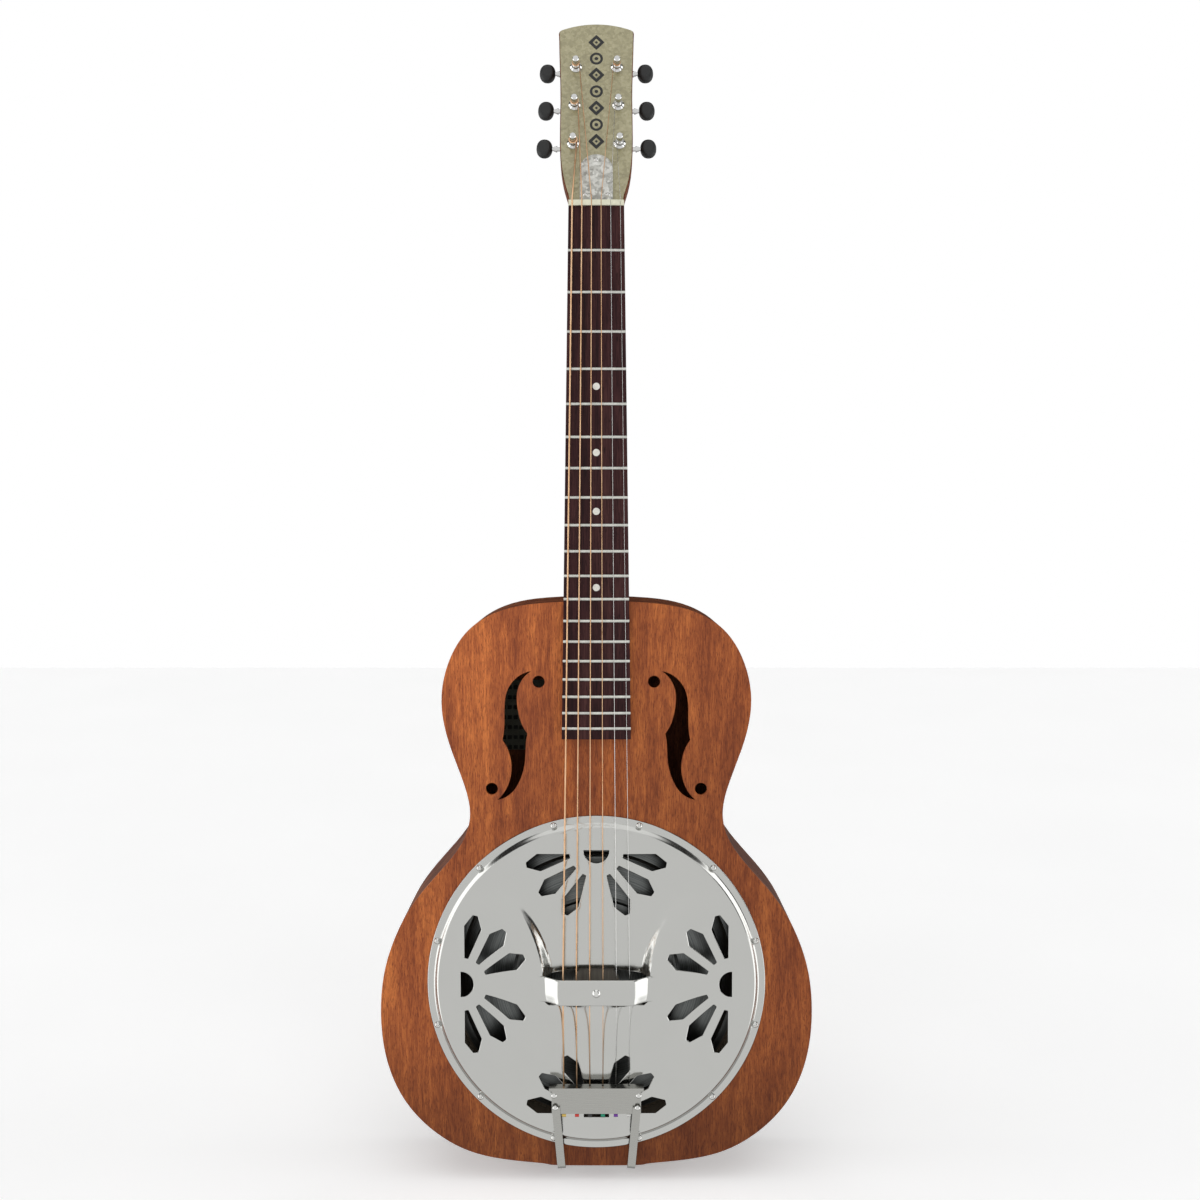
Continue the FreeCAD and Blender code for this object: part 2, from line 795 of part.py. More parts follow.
def neck_tongue():
    """The tapered strip that fills the space under the end of the fingerboard."""
    low = BOARD_END + 1.2
    points = []
    for along in (low, 6):
        points.append(V(board_half(along) - BOARD_BEVEL, 0, along))
    for along in (6, low):
        points.append(V(-board_half(along) + BOARD_BEVEL, 0, along))
    return in_neck(sheet(polygon(points), 0, 8))


def head_wire(inset=0.0):
    """The outline of the headstock, drawn on its face."""
    side_points = front_points([
        (22.4 - inset, 0),
        (22.9 - inset, 5),
        (24.6 - inset, 11),
        (28.4 - inset, 29),
        (29.9 - inset, 55),
        (29.6 - inset, 94),
        (31.0 - inset, 145),
        (31.1 - inset, 152),
    ])
    right = spline(side_points).toShape()
    shoulder = V(29.2 - inset, 0, HEAD_LENGTH - 5.3 - inset)
    corner = Part.Arc(side_points[-1], V(30.8 - inset, 0, HEAD_LENGTH - 6.9 - inset), shoulder).toShape()
    top = Part.Arc(shoulder, V(0, 0, HEAD_LENGTH - inset), V(-shoulder.x, 0, shoulder.z)).toShape()
    base = Part.makeLine(V(-side_points[0].x, 0, 0), side_points[0])
    edges = Part.sortEdges([right, corner, top, mirrored(corner), mirrored(right), base])
    return Part.Wire(edges[0])


def head_slab():
    """The wood of the headstock."""
    return in_head(sheet(head_wire(), 0, HEAD_THICK))


def truss_pocket():
    """The recess behind the nut that the truss nut sits in."""
    return in_head(box((-6, -FACING - 1, 0.8), (6, 12, 27)))


def truss_bore():
    """The bore in the neck that holds the truss rod."""
    start = neck_point(0, -TRUSS_DEPTH, -2)
    end = neck_point(0, -TRUSS_DEPTH, NUT_S + 12)
    return rod(TRUSS_RADIUS + 0.1, start, end)


def post_places():
    """Where each string post crosses the headstock's face: side, place, x, z."""
    places = []
    for name, sign in SIDES:
        for place, x, along in zip(PLACES, POST_X, POST_T):
            places.append((name + "_" + place, sign, x, along))
    return places


def post_holes(radius, out_low, out_high):
    """Cutters for the string posts, between two levels out from the face."""
    holes = []
    for name, sign, x, along in post_places():
        holes.append(in_head(rod(radius, (sign * x, -out_high, along), (sign * x, -out_low, along))))
    return holes


def truss_screw_places():
    """Where the truss rod cover's screws stand on the headstock."""
    return [(0, 36.2), (-9.2, 5.0), (9.2, 5.0)]


def truss_screw_holes():
    """Cutters for the truss rod cover's screws."""
    holes = []
    for x, along in truss_screw_places():
        holes.append(in_head(rod(0.8, (x, -8, along), (x, 5, along))))
    return holes


def neck():
    """Neck, heel, tongue and headstock as one piece of mahogany."""
    blank = joined(neck_shaft() + [neck_heel(), neck_tongue(), head_slab()])
    blank = blank.cut(body_prism(0, FRONT, BACK + 5))
    blank = joined([blank, tenon()])
    cutters = [truss_bore(), truss_pocket()]
    cutters += post_holes(4.0, -6, 3)
    cutters += post_holes(3.3, -16, 0)
    cutters += truss_screw_holes()
    cutters += plate_screws()
    return blank.cut(cutters)


def board_blank():
    """The fingerboard with its rounded top, before it is slotted."""
    points = [
        V(board_half(BOARD_END), 0, BOARD_END),
        V(board_half(NUT_S), 0, NUT_S),
        V(-board_half(NUT_S), 0, NUT_S),
        V(-board_half(BOARD_END), 0, BOARD_END),
    ]
    slab = sheet(polygon(points), -BOARD_THICK - 1, 0)
    return slab.common(board_cylinder(0))


def board_cylinder(extra):
    """The cylinder that the fingerboard's top face lies on."""
    centre = V(0, BOARD_RADIUS - BOARD_THICK, BOARD_END - 5)
    return Part.makeCylinder(BOARD_RADIUS + extra, NUT_S - BOARD_END + 10, centre, V(0, 0, 1))


def across_board(profile_pairs, along, half):
    """A bar bent to the fingerboard's top from a (width, height) profile."""
    centre = V(0, BOARD_RADIUS - BOARD_THICK, along)
    points = [V(0, -BOARD_THICK - height, along + width) for width, height in profile_pairs]
    reach = math.degrees(math.asin(half / BOARD_RADIUS))
    face = Part.Face(polygon(points))
    face.rotate(centre, V(0, 0, 1), -reach)
    return face.revolve(centre, V(0, 0, 1), 2 * reach)


def fret_slots():
    """Cutters for the saw slots that hold the frets."""
    half = TANG_WIDTH / 2
    slots = []
    for number in range(1, FRET_COUNT + 1):
        along = fret_position(number)
        profile = [(-half, -TANG_DEPTH), (half, -TANG_DEPTH), (half, 1), (-half, 1)]
        slots.append(across_board(profile, along, board_half(along) + 2))
    return slots


def fret(number):
    """One fret: a rounded crown over a tang."""
    half = TANG_WIDTH / 2
    wide = FRET_WIDTH / 2
    along = fret_position(number)
    crown = []
    for step in range(7):
        turn = math.pi * step / 6
        crown.append((wide * math.cos(turn), FRET_HEIGHT * math.sin(turn)))
    tang = [(-half, 0), (-half, -TANG_DEPTH), (half, -TANG_DEPTH), (half, 0)]
    return across_board(crown + tang, along, board_half(along) - 0.15)


def frets():
    """All the frets."""
    return group([in_neck(fret(number)) for number in range(1, FRET_COUNT + 1)])


def dot_shapes():
    """The position dots, flush with the fingerboard's top."""
    dots = []
    for number in DOT_FRETS:
        along = (fret_position(number) + fret_position(number - 1)) / 2
        plug = rod(DOT_RADIUS, (0, -BOARD_THICK - 1, along), (0, -BOARD_THICK + DOT_DEPTH, along))
        dots.append(plug.common(board_cylinder(0)))
    return dots


def fretboard():
    """The rosewood fingerboard with its slots and dot recesses."""
    return in_neck(board_blank().cut(fret_slots() + dot_shapes()))


def position_dots():
    """The dots that mark the frets."""
    return group([in_neck(dot) for dot in dot_shapes()])


def nut():
    """The nut, notched for the strings."""
    half = NUT_WIDTH / 2 - 0.1
    block = box((-half, -NUT_HEIGHT - 1, NUT_S), (half, 0, NUT_S + NUT_THICK))
    centre = V(0, BOARD_RADIUS - NUT_HEIGHT, NUT_S - 1)
    block = block.common(Part.makeCylinder(BOARD_RADIUS, NUT_THICK + 2, centre, V(0, 0, 1)))
    notches = []
    for index in range(6):
        x = spread(NUT_SPREAD, index)
        radius = STRING_RADII[index] + 0.02
        level = string_level(index, NUT_ACTION, x)
        notches.append(rod(radius, (x, -level, NUT_S - 1), (x, -level, NUT_S + 6)))
        notches.append(box((x - radius, -NUT_HEIGHT - 2, NUT_S - 1), (x + radius, -level, NUT_S + 6)))
    return in_neck(block.cut(notches))


def headstock_facing():
    """The pearl-look veneer on the front of the headstock."""
    veneer = in_head(sheet(head_wire(FACING_INSET), -FACING, 0))
    pocket = truss_pocket()
    return veneer.cut([pocket] + post_holes(4.0, -3, 6) + truss_screw_holes())


def truss_cover_wire():
    """The arched outline of the truss rod cover."""
    half = 13.4
    straight = 27.0
    arch = Part.Arc(V(half, 0, straight), V(0, 0, 40.8), V(-half, 0, straight)).toShape()
    rest = Part.makePolygon([
        V(-half, 0, straight),
        V(-half, 0, 0.5),
        V(half, 0, 0.5),
        V(half, 0, straight),
    ])
    return Part.Wire([arch] + rest.Edges)


def truss_rod_cover():
    """The arched cover plate behind the nut."""
    plate = in_head(sheet(truss_cover_wire(), -FACING - TRUSS_COVER_THICK, -FACING))
    return plate.cut(truss_screw_holes())


def truss_rod_cover_screws():
    """Three small round-headed screws."""
    outward = head_point(0, 1, 0) - head_point(0, 0, 0)
    screws = []
    for x, along in truss_screw_places():
        base = head_point(x, FACING + TRUSS_COVER_THICK, along)
        screw = round_screw(1.8, 1.1, 0.8, 7, base, outward)
        screws.append(screw.cut(cross_slot(0.9, 3, base + outward * 0.6, outward, V(1, 0, 0))))
    return group(screws)


def truss_rod():
    """The steel rod inside the neck."""
    start = neck_point(0, -TRUSS_DEPTH, 0)
    end = neck_point(0, -TRUSS_DEPTH, NUT_S + 10)
    return rod(TRUSS_RADIUS, start, end)


def truss_nut():
    """The adjusting nut on the end of the truss rod, with a hexagon socket."""
    start = NUT_S + NUT_THICK + 2.4
    body = rod(3.8, (0, TRUSS_DEPTH, start), (0, TRUSS_DEPTH, start + 11))
    bore = rod(TRUSS_RADIUS + 0.05, (0, TRUSS_DEPTH, start - 1), (0, TRUSS_DEPTH, start + 4.5))
    corners = []
    for step in range(6):
        turn = math.radians(60 * step)
        corners.append(V(2.0 * math.cos(turn), TRUSS_DEPTH + 2.0 * math.sin(turn), start + 5))
    socket = Part.Face(polygon(corners)).extrude(V(0, 0, 8))
    return in_neck(body.cut([bore, socket]))


# ---- tuners -------------------------------------------------------------------
# Each tuner is drawn about its own string post: +x towards the button, -y out of
# the headstock's face and +z up the headstock, then mirrored for the bass side.

def in_tuner(shape, sign, x, along):
    """Move a shape drawn about a string post into place."""
    shape = shape.copy()
    shape.rotate(V(0, 0, 0), V(0, 1, 0), -PLATE_SLANT)
    shape.translate(V(x, 0, along))
    if sign < 0:
        shape = mirrored(shape)
    return in_head(shape)


def string_post():
    """The post, waisted where the string winds, with its string hole."""
    profile = polygon([
        V(0, -POST_TOP, 0),
        V(2.2, -POST_TOP, 0),
        V(2.7, -POST_TOP + 0.6, 0),
        V(2.7, -POST_TOP + 3.0, 0),
        V(2.4, -POST_TOP + 3.6, 0),
        V(2.4, -POST_TOP + 8.0, 0),
        V(POST_RADIUS, -POST_TOP + 8.8, 0),
        V(POST_RADIUS, -GEAR_LEVEL - GEAR_THICK / 2, 0),
        V(1.8, -GEAR_LEVEL - GEAR_THICK / 2, 0),
        V(1.8, -GEAR_LEVEL + GEAR_THICK / 2, 0),
        V(2.9, -GEAR_LEVEL + GEAR_THICK / 2, 0),
        V(2.9, -GEAR_LEVEL + GEAR_THICK / 2 + 0.9, 0),
        V(2.2, -GEAR_LEVEL + GEAR_THICK / 2 + 1.5, 0),
        V(0, -GEAR_LEVEL + GEAR_THICK / 2 + 1.5, 0),
    ])
    post = turned(profile, V(0, 0, 0), V(0, 1, 0))
    hole = rod(0.9, (-5, -POST_TOP + 5.4, 0), (5, -POST_TOP + 5.4, 0))
    slot_y = -GEAR_LEVEL + GEAR_THICK / 2 + 0.7
    slot = box((-4, slot_y, -0.35), (4, slot_y + 2, 0.35))
    return post.cut([hole, slot])


def gear():
    """The toothed wheel on the post, its teeth slanted to suit the worm."""
    tip = GEAR_PITCH + TOOTH_HALF_DEPTH
    root = GEAR_PITCH - TOOTH_HALF_DEPTH - 0.15
    pitch_angle = 2 * math.pi / GEAR_TEETH
    outline = []
    for tooth in range(GEAR_TEETH):
        middle = (tooth + 0.5) * pitch_angle
        for radius, part in ((root, -0.30), (tip, -0.11), (tip, 0.11), (root, 0.30)):
            turn = middle + part * pitch_angle
            outline.append(V(radius * math.sin(turn), 0, radius * math.cos(turn)))
    blank = sheet(polygon(outline), -GEAR_LEVEL - GEAR_THICK / 2, -GEAR_LEVEL + GEAR_THICK / 2)
    return blank.cut(rod(1.8, (0, 10, 0), (0, 30, 0)))


def worm():
    """The worm's core with one helical thread round it."""
    length = 8.6
    turns = 4
    core_radius = WORM_PITCH - TOOTH_HALF_DEPTH - 0.15
    tip_radius = WORM_PITCH + TOOTH_HALF_DEPTH
    inner = core_radius - 0.1
    helix = Part.makeHelix(WORM_LEAD, WORM_LEAD * turns, inner)
    base = 0.30 * WORM_LEAD
    tip = 0.12 * WORM_LEAD
    profile = polygon([
        V(inner, 0, -base),
        V(tip_radius, 0, -tip),
        V(tip_radius, 0, tip),
        V(inner, 0, base),
    ])
    thread = Part.Wire(helix).makePipeShell([profile], True, True)
    thread.translate(V(0, 0, -WORM_LEAD * turns / 2))
    core = Part.makeCylinder(core_radius, length, V(0, 0, -length / 2))
    keep = Part.makeCylinder(tip_radius + 1, length - 1.0, V(0, 0, -length / 2 + 0.5))
    screw = core.fuse(thread.common(keep))
    screw.rotate(V(0, 0, 0), V(0, 1, 0), 90)
    return screw


def worm_shaft():
    """The worm, its journals and the stem that carries the button."""
    half = 4.3
    stem = [
        rod(1.5, (-half - 2.2, 0, 0), (half + 2.0, 0, 0)),
        rod(2.3, (half + 2.0, 0, 0), (half + 3.2, 0, 0)),
        rod(1.7, (half + 3.2, 0, 0), (half + 9.5, 0, 0)),
        rod(2.5, (half + 9.5, 0, 0), (half + 10.7, 0, 0)),
        rod(2.0, (half + 10.7, 0, 0), (half + 12.2, 0, 0)),
        rod(1.5, (half + 12.2, 0, 0), (BUTTON_X + 3, 0, 0)),
    ]
    shaft = worm().fuse(stem).removeSplitter()
    shaft.translate(V(0, -GEAR_LEVEL, CENTRE_DISTANCE))
    return shaft


def button():
    """The oval button, fatter in the middle, pushed on the end of the stem."""
    slices = []
    for step in range(7):
        turn = math.radians(-75 + 25 * step)
        swell = math.cos(turn) ** 0.5
        level = 4.0 * math.sin(turn) / math.sin(math.radians(75))
        slices.append(ellipse_wire(6.7 * swell, 8.15 * swell, level))
    body = Part.makeLoft(slices, True, False)
    body.translate(V(BUTTON_X, -GEAR_LEVEL, CENTRE_DISTANCE))
    return body.cut(worm_shaft())


def ellipse_wire(half_x, half_z, level):
    """An oval, slightly squared, facing the headstock's front."""
    points = []
    for step in range(24):
        turn = 2 * math.pi * step / 24
        across = math.cos(turn)
        up = math.sin(turn)
        points.append(V(
            half_x * math.copysign(abs(across) ** 0.9, across),
            level,
            half_z * math.copysign(abs(up) ** 0.9, up),
        ))
    curve = Part.BSplineCurve()
    curve.interpolate(Points=points, PeriodicFlag=True)
    return Part.Wire([curve.toShape()])


def bushing():
    """The pressed-in collar round a string post."""
    profile = polygon([
        V(POST_RADIUS + 0.05, -FACING - 2.0, 0),
        V(POST_RADIUS + 0.6, -FACING - 2.2, 0),
        V(4.9, -FACING - 0.9, 0),
        V(4.9, -FACING, 0),
        V(4.0, -FACING, 0),
        V(4.0, 6.0, 0),
        V(POST_RADIUS + 0.05, 6.0, 0),
    ])
    return turned(profile, V(0, 0, 0), V(0, 1, 0))


def tuner_bushings():
    """All six bushings."""
    return group([in_tuner(bushing(), sign, x, along) for name, sign, x, along in post_places()])


def plate_screw_offsets():
    """Places of the screws along a tuner plate, measured from the lowest post."""
    return (-10.0, 17.5 + CENTRE_DISTANCE, 52.5 + CENTRE_DISTANCE, 87.0)


def plate_screws():
    """The wood screws of both tuner plates, their heads to the back."""
    screws = []
    for name, sign in SIDES:
        for offset in plate_screw_offsets():
            base = V(0, HEAD_THICK + TUNER_PLATE, offset)
            screw = round_screw(2.0, 1.2, 1.0, 9, base, V(0, 1, 0))
            screws.append(in_tuner(screw, sign, POST_X[0], POST_T[0]))
    return screws


def tuner_plate_screws():
    """All the screws of the two tuner plates."""
    return group(plate_screws())


def tuner_plate(sign):
    """One back plate carrying the three worms of its side between ears."""
    spacing = POST_T[1] - POST_T[0]
    inner = HEAD_THICK
    outer = HEAD_THICK + TUNER_PLATE
    parts = [box((-7.0, inner, -13.5), (7.6, outer, 91))]
    cutters = []
    for step in range(3):
        z = step * spacing
        middle = z + CENTRE_DISTANCE
        for x_low, x_high in ((-6.0, -4.8), (4.8, 6.0)):
            parts.append(box((x_low, outer - 0.2, middle - 2.9), (x_high, -GEAR_LEVEL, middle + 2.9)))
            parts.append(rod(2.9, (x_low, -GEAR_LEVEL, middle), (x_high, -GEAR_LEVEL, middle)))
        cutters.append(rod(1.55, (-8, -GEAR_LEVEL, middle), (8, -GEAR_LEVEL, middle)))
        cutters.append(rod(3.3, (0, inner - 1, z), (0, outer + 0.1, z)))
    plate = joined(parts).cut(cutters)
    plate = in_tuner(plate, sign, POST_X[0], POST_T[0])
    return plate.cut(plate_screws())


def tuner_plates():
    """The two back plates."""
    return group([tuner_plate(sign) for name, sign in SIDES])


# ---- strings and tailpiece ----------------------------------------------------

def string_level(index, action, x):
    """Height of a string's centre over the glue plane, following the board's curve."""
    return action + STRING_RADII[index] - x * x / (2 * BOARD_RADIUS)


def in_tail(shape):
    """Move a shape drawn about the strings' line at the tailpiece into place.

    Drawn with x across, -y out of the body and z towards the neck.
    """
    shape = shape.copy()
    shape.rotate(V(0, 0, 0), V(1, 0, 0), TAIL_SLOPE)
    shape.translate(V(0, cover_height(TAIL_HEIGHT), TAIL_Z))
    return shape


def tail_point(x, out, along):
    """A point given in the tailpiece's own directions."""
    return in_tail(Part.Vertex(x, -out, along)).Point


def string_path(index):
    """The corners of one string's route from its ball end to its post."""
    radius = STRING_RADII[index]
    x_nut = spread(NUT_SPREAD, index)
    x_saddle = spread(SADDLE_SPREAD, index)
    x_tail = spread(TAIL_SPREAD, index)
    saddle_s = -SCALE_LENGTH / 2 - 2.2
    order = (0, 1, 2, 2, 1, 0)
    side_sign = -1 if index < 3 else 1
    post_x = POST_X[order[index]]
    post_t = POST_T[order[index]]
    inner = side_sign * (post_x - POST_RADIUS - radius - 0.35)
    return [
        tail_point(x_tail, 0, -11.7),
        neck_point(x_saddle, string_level(index, SADDLE_ACTION, x_saddle), saddle_s),
        neck_point(x_nut, string_level(index, NUT_ACTION, x_nut), NUT_S),
        neck_point(x_nut, string_level(index, NUT_ACTION, x_nut), NUT_S + NUT_THICK + 0.4),
        head_point(inner, FACING + 7.4, post_t + 0.5),
    ]


def string(index):
    """One string as a round wire along its whole route."""
    radius = STRING_RADII[index]
    path = string_path(index)
    pieces = []
    for start, end in zip(path[:-1], path[1:]):
        pieces.append(Part.makeCylinder(radius, (end - start).Length, start, end - start))
    for corner in path[1:-1]:
        pieces.append(Part.makeSphere(radius, corner))
    return joined(pieces)


def wound_strings():
    """The four wound strings."""
    return group([string(index) for index in range(WOUND_COUNT)])


def plain_strings():
    """The two plain steel strings."""
    return group([string(index) for index in range(WOUND_COUNT, 6)])


def string_ball_ends():
    """The small barrels that anchor the strings below the tailpiece."""
    balls = []
    for index in range(6):
        x = spread(TAIL_SPREAD, index)
        balls.append(in_tail(rod(1.9, (x - 1.7, 0, -13.6), (x + 1.7, 0, -13.6))))
    return group(balls)


def rivet_places():
    """Where the treble side's rivets stand on the tailpiece: x, distance along it."""
    return [(34.9, 5.2), (33.9, -4.3)]


def rivet_holes():
    """Cutters for the rivets' shanks."""
    holes = []
    for x, along in rivet_places():
        holes.extend(both_sides(rod(1.2, (x, -9, along), (x, -2, along))))
    return [in_tail(hole) for hole in holes]


def tailpiece_plate():
    """The folded plate that holds the strings' ball ends."""
    panel = box((-TAIL_HALF, -4.5, -10.5), (TAIL_HALF, -3.0, 10.5))
    lip = box((-TAIL_LIP_HALF, -5.4, 9.6), (TAIL_LIP_HALF, 2.0, 12.4))
    foot = box((-30.2, -3.2, -10.5), (30.2, 2.0, -9.2))
    cutters = []
    for index in range(6):
        x = spread(TAIL_SPREAD, index)
        cutters.append(rod(1.0, (x, 0, -15), (x, 0, 15)))
    plate = in_tail(joined([panel, lip, foot]).cut(cutters))
    return plate.cut(rivet_holes())


def strap_leg():
    """One leg of the yoke over the top, with its bend at the tail."""
    thick = 1.6
    inner = [(57.4, 15.5), (51.0, 14.85), (1.2, 1.2), (-0.3, -0.6), (-0.3, -12.0)]
    outer = [
        (-0.3 - thick, -12.0),
        (-0.3 - thick, 0.4),
        (0.9, 2.9),
        (50.8, 14.85 + thick),
        (57.4, 15.5 + thick),
    ]
    points = [V(29.2 - 3.3, cover_height(height), z) for z, height in inner + outer]
    leg = Part.Face(polygon(points)).extrude(V(6.6, 0, 0))
    leg.rotate(V(29.2, 0, 0), V(0, 1, 0), 4.1)
    return leg


def strap_foot():
    """The yoke's flat foot, drawn together round the strap button."""
    low = -1.9
    high = -0.3
    half = polygon([
        V(0, 9, low),
        V(9, 9, low),
        V(10, -4, low),
        V(32.5, FRONT + 9, low),
        V(32.5, FRONT + 3, low),
        V(25.9, FRONT + 3, low),
        V(25.9, FRONT + 8, low),
        V(5, -9, low),
        V(0, -9, low),
    ])
    arm = Part.Face(half).extrude(V(0, 0, high - low))
    return both_sides(arm)


def tailpiece_straps():
    """The yoke: two legs over the tail, joined under the strap button."""
    yoke = joined(both_sides(strap_leg()) + strap_foot())
    return yoke.cut(rivet_holes() + [button_screw_hole()])


def tailpiece_rivets():
    """Four domed rivets."""
    outward = tail_point(0, 1, 0) - tail_point(0, 0, 0)
    rivets = []
    for x, along in rivet_places():
        raise_by = 0.0
        if along < 0:
            raise_by = 2.1
        for sign in (1, -1):
            base = tail_point(sign * x, 4.5 + raise_by, along)
            rivets.append(round_screw(2.2, 1.0, 1.2, 1.5 + raise_by, base, outward))
    return group(rivets)


def strap_button():
    """The strap button with its screw, at the middle of the tail."""
    profile = polygon([
        V(0, 0, 24),
        V(2.5, 0, 22),
        V(2.5, 0, -1.9),
        V(7.5, 0, -1.9),
        V(7.5, 0, -3.2),
        V(4.4, 0, -5.0),
        V(4.0, 0, -8.6),
        V(6.2, 0, -10.6),
        V(6.2, 0, -12.2),
        V(5.2, 0, -13.0),
        V(0, 0, -13.0),
    ])
    return turned(profile, V(0, 0, 0), V(0, 0, 1))


# ---- write every node ---------------------------------------------------------

def build_nodes():
    """Every node of the guitar by name."""
    nodes = {
        "soundboard": soundboard(),
        "back_board": back_board(),
        "side_bass": side(-1),
        "side_treble": side(1),
        "linings": linings(),
        "back_braces": back_braces(),
        "neck_block": neck_block(),
        "tail_block": tail_block(),
        "sound_well": sound_well(),
        "maker_label": maker_label(),
        "resonator_cone": resonator_cone(),
        "biscuit": biscuit(),
        "saddle": saddle(),
        "biscuit_screw": biscuit_screw(),
        "coverplate": coverplate(),
        "coverplate_screws": coverplate_screws(),
        "tailpiece_plate": tailpiece_plate(),
        "tailpiece_straps": tailpiece_straps(),
        "tailpiece_rivets": tailpiece_rivets(),
        "strap_button": strap_button(),
        "neck": neck(),
        "fretboard": fretboard(),
        "frets": frets(),
        "position_dots": position_dots(),
        "nut": nut(),
        "headstock_facing": headstock_facing(),
        "truss_rod_cover": truss_rod_cover(),
        "truss_rod_cover_screws": truss_rod_cover_screws(),
        "truss_rod": truss_rod(),
        "truss_nut": truss_nut(),
        "tuner_plates": tuner_plates(),
        "tuner_plate_screws": tuner_plate_screws(),
        "tuner_bushings": tuner_bushings(),
        "string_ball_ends": string_ball_ends(),
        "wound_strings": wound_strings(),
        "plain_strings": plain_strings(),
    }
    for name, sign, x, along in post_places():
        nodes["worm_shaft_" + name] = in_tuner(worm_shaft(), sign, x, along)
        nodes["button_" + name] = in_tuner(button(), sign, x, along)
        nodes["string_post_" + name] = in_tuner(string_post(), sign, x, along)
        nodes["gear_" + name] = in_tuner(gear(), sign, x, along)
    return nodes


def main():
    """Write one STEP file per node."""
    os.makedirs("parts", exist_ok=True)
    for name, shape in build_nodes().items():
        shape.exportStep("parts/" + name + ".step")
        size = shape.BoundBox
        print("%-26s solids %2d valid %s volume %.1f x %.1f..%.1f y %.1f..%.1f z %.1f..%.1f" % (
            name, len(shape.Solids), shape.isValid(), shape.Volume,
            size.XMin, size.XMax, size.YMin, size.YMax, size.ZMin, size.ZMax))


main()
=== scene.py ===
import json
import math

import bpy
from mathutils import Matrix, Vector
from mathutils.geometry import delaunay_2d_cdt


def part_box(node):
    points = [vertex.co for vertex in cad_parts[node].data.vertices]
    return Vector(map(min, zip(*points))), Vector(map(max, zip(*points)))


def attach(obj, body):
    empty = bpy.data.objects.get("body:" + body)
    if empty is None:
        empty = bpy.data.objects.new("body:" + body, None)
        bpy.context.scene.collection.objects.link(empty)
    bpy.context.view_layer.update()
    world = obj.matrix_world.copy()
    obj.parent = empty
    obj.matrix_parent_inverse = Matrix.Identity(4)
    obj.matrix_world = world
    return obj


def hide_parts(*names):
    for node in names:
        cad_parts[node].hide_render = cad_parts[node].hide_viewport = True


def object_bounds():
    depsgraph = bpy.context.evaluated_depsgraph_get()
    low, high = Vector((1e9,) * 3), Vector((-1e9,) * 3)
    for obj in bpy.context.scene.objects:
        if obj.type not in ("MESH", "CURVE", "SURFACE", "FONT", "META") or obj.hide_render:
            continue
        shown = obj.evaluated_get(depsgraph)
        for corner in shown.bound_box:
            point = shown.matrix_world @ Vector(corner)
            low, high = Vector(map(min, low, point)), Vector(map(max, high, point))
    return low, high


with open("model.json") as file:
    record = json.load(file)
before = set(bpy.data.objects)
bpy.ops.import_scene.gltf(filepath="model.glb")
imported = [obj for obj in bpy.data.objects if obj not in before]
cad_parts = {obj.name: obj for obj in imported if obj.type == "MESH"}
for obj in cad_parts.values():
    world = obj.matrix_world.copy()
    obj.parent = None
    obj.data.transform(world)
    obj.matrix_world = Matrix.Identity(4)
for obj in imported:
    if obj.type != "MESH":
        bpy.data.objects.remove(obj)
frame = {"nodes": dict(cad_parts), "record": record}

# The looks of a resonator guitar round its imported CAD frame.
# Metres, +Z up the neck, the front facing -Y, the bass strings on the -X side.

CAD_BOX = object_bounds()

MM = 0.001

# ---- places read from the frame -----------------------------------------------

PLATE_LOW, PLATE_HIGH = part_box("coverplate")
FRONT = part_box("soundboard")[0].y
COVER_Z = (PLATE_LOW.z + PLATE_HIGH.z) / 2
COVER_RADIUS = (PLATE_HIGH.x - PLATE_LOW.x) / 2 / MM
FLOOR_Z = CAD_BOX[0].z

# ---- dimensions shared with the CAD, in millimetres ---------------------------

SCALE_LENGTH = 635.0
JOINT_Z = 475.8
NECK_ANGLE = math.radians(1.6)
HEAD_ANGLE = math.radians(14.0)
TONGUE = 1.0
BOARD_RADIUS = 400.0
NUT_S = SCALE_LENGTH / 2
NUT_THICK = 4.3
FACING = 1.6

STRING_RADII = (0.675, 0.535, 0.405, 0.305, 0.205, 0.152)
WOUND_COUNT = 4
NUT_SPREAD = 19.4
SADDLE_SPREAD = 27.3
TAIL_SPREAD = 26.8
NUT_ACTION = 7.5
SADDLE_ACTION = 11.2
TAIL_Z = 62.0
TAIL_HEIGHT = 11.2
TAIL_SLOPE = math.radians(5.6)

POST_T = (51.4, 86.4, 121.4)
POST_X = (19.0, 17.97, 16.95)
PLATE_SLANT = math.radians(1.68)
WAIST_RADIUS = 2.4
WAIST_LOW = 6.6
POST_HOLE = 9.2

COVER_SHEET = 1.2
COVER_SCREW_CIRCLE = 136.6
COVER_SCREW_COUNT = 12
PETAL_CENTRE = 112.2
PETAL_ANGLES = (12, 38, 64, 116, 142, 168)
PETAL_SIDE = ((22.5, 1.45), (48.6, 7.1), (58.8, 2.0))
HALF_DISC_RADIUS = 10.5
REST_HALF = 43.5
REST_FLAT_HALF = 31.0
REST_LOW = -10.4
REST_HIGH = 10.8
REST_TOP = 27.5

# ---- the pressing's own curves, in millimetres, some a little off the CAD plate's

COVER_STEP_OUT = COVER_RADIUS - 5.2
COVER_STEP_IN = COVER_RADIUS - 10.3
COVER_SEAM = COVER_STEP_IN - 0.8
COVER_RISE = 4.6
COVER_DOME = 3.0
BEAD_RISE = 0.34
SEAM_FADE = 0.8
RIM_COUNT = 720
SCREW_SEAT_RADIUS = 2.75
SCREW_SEAT_SLOPE = 2.5

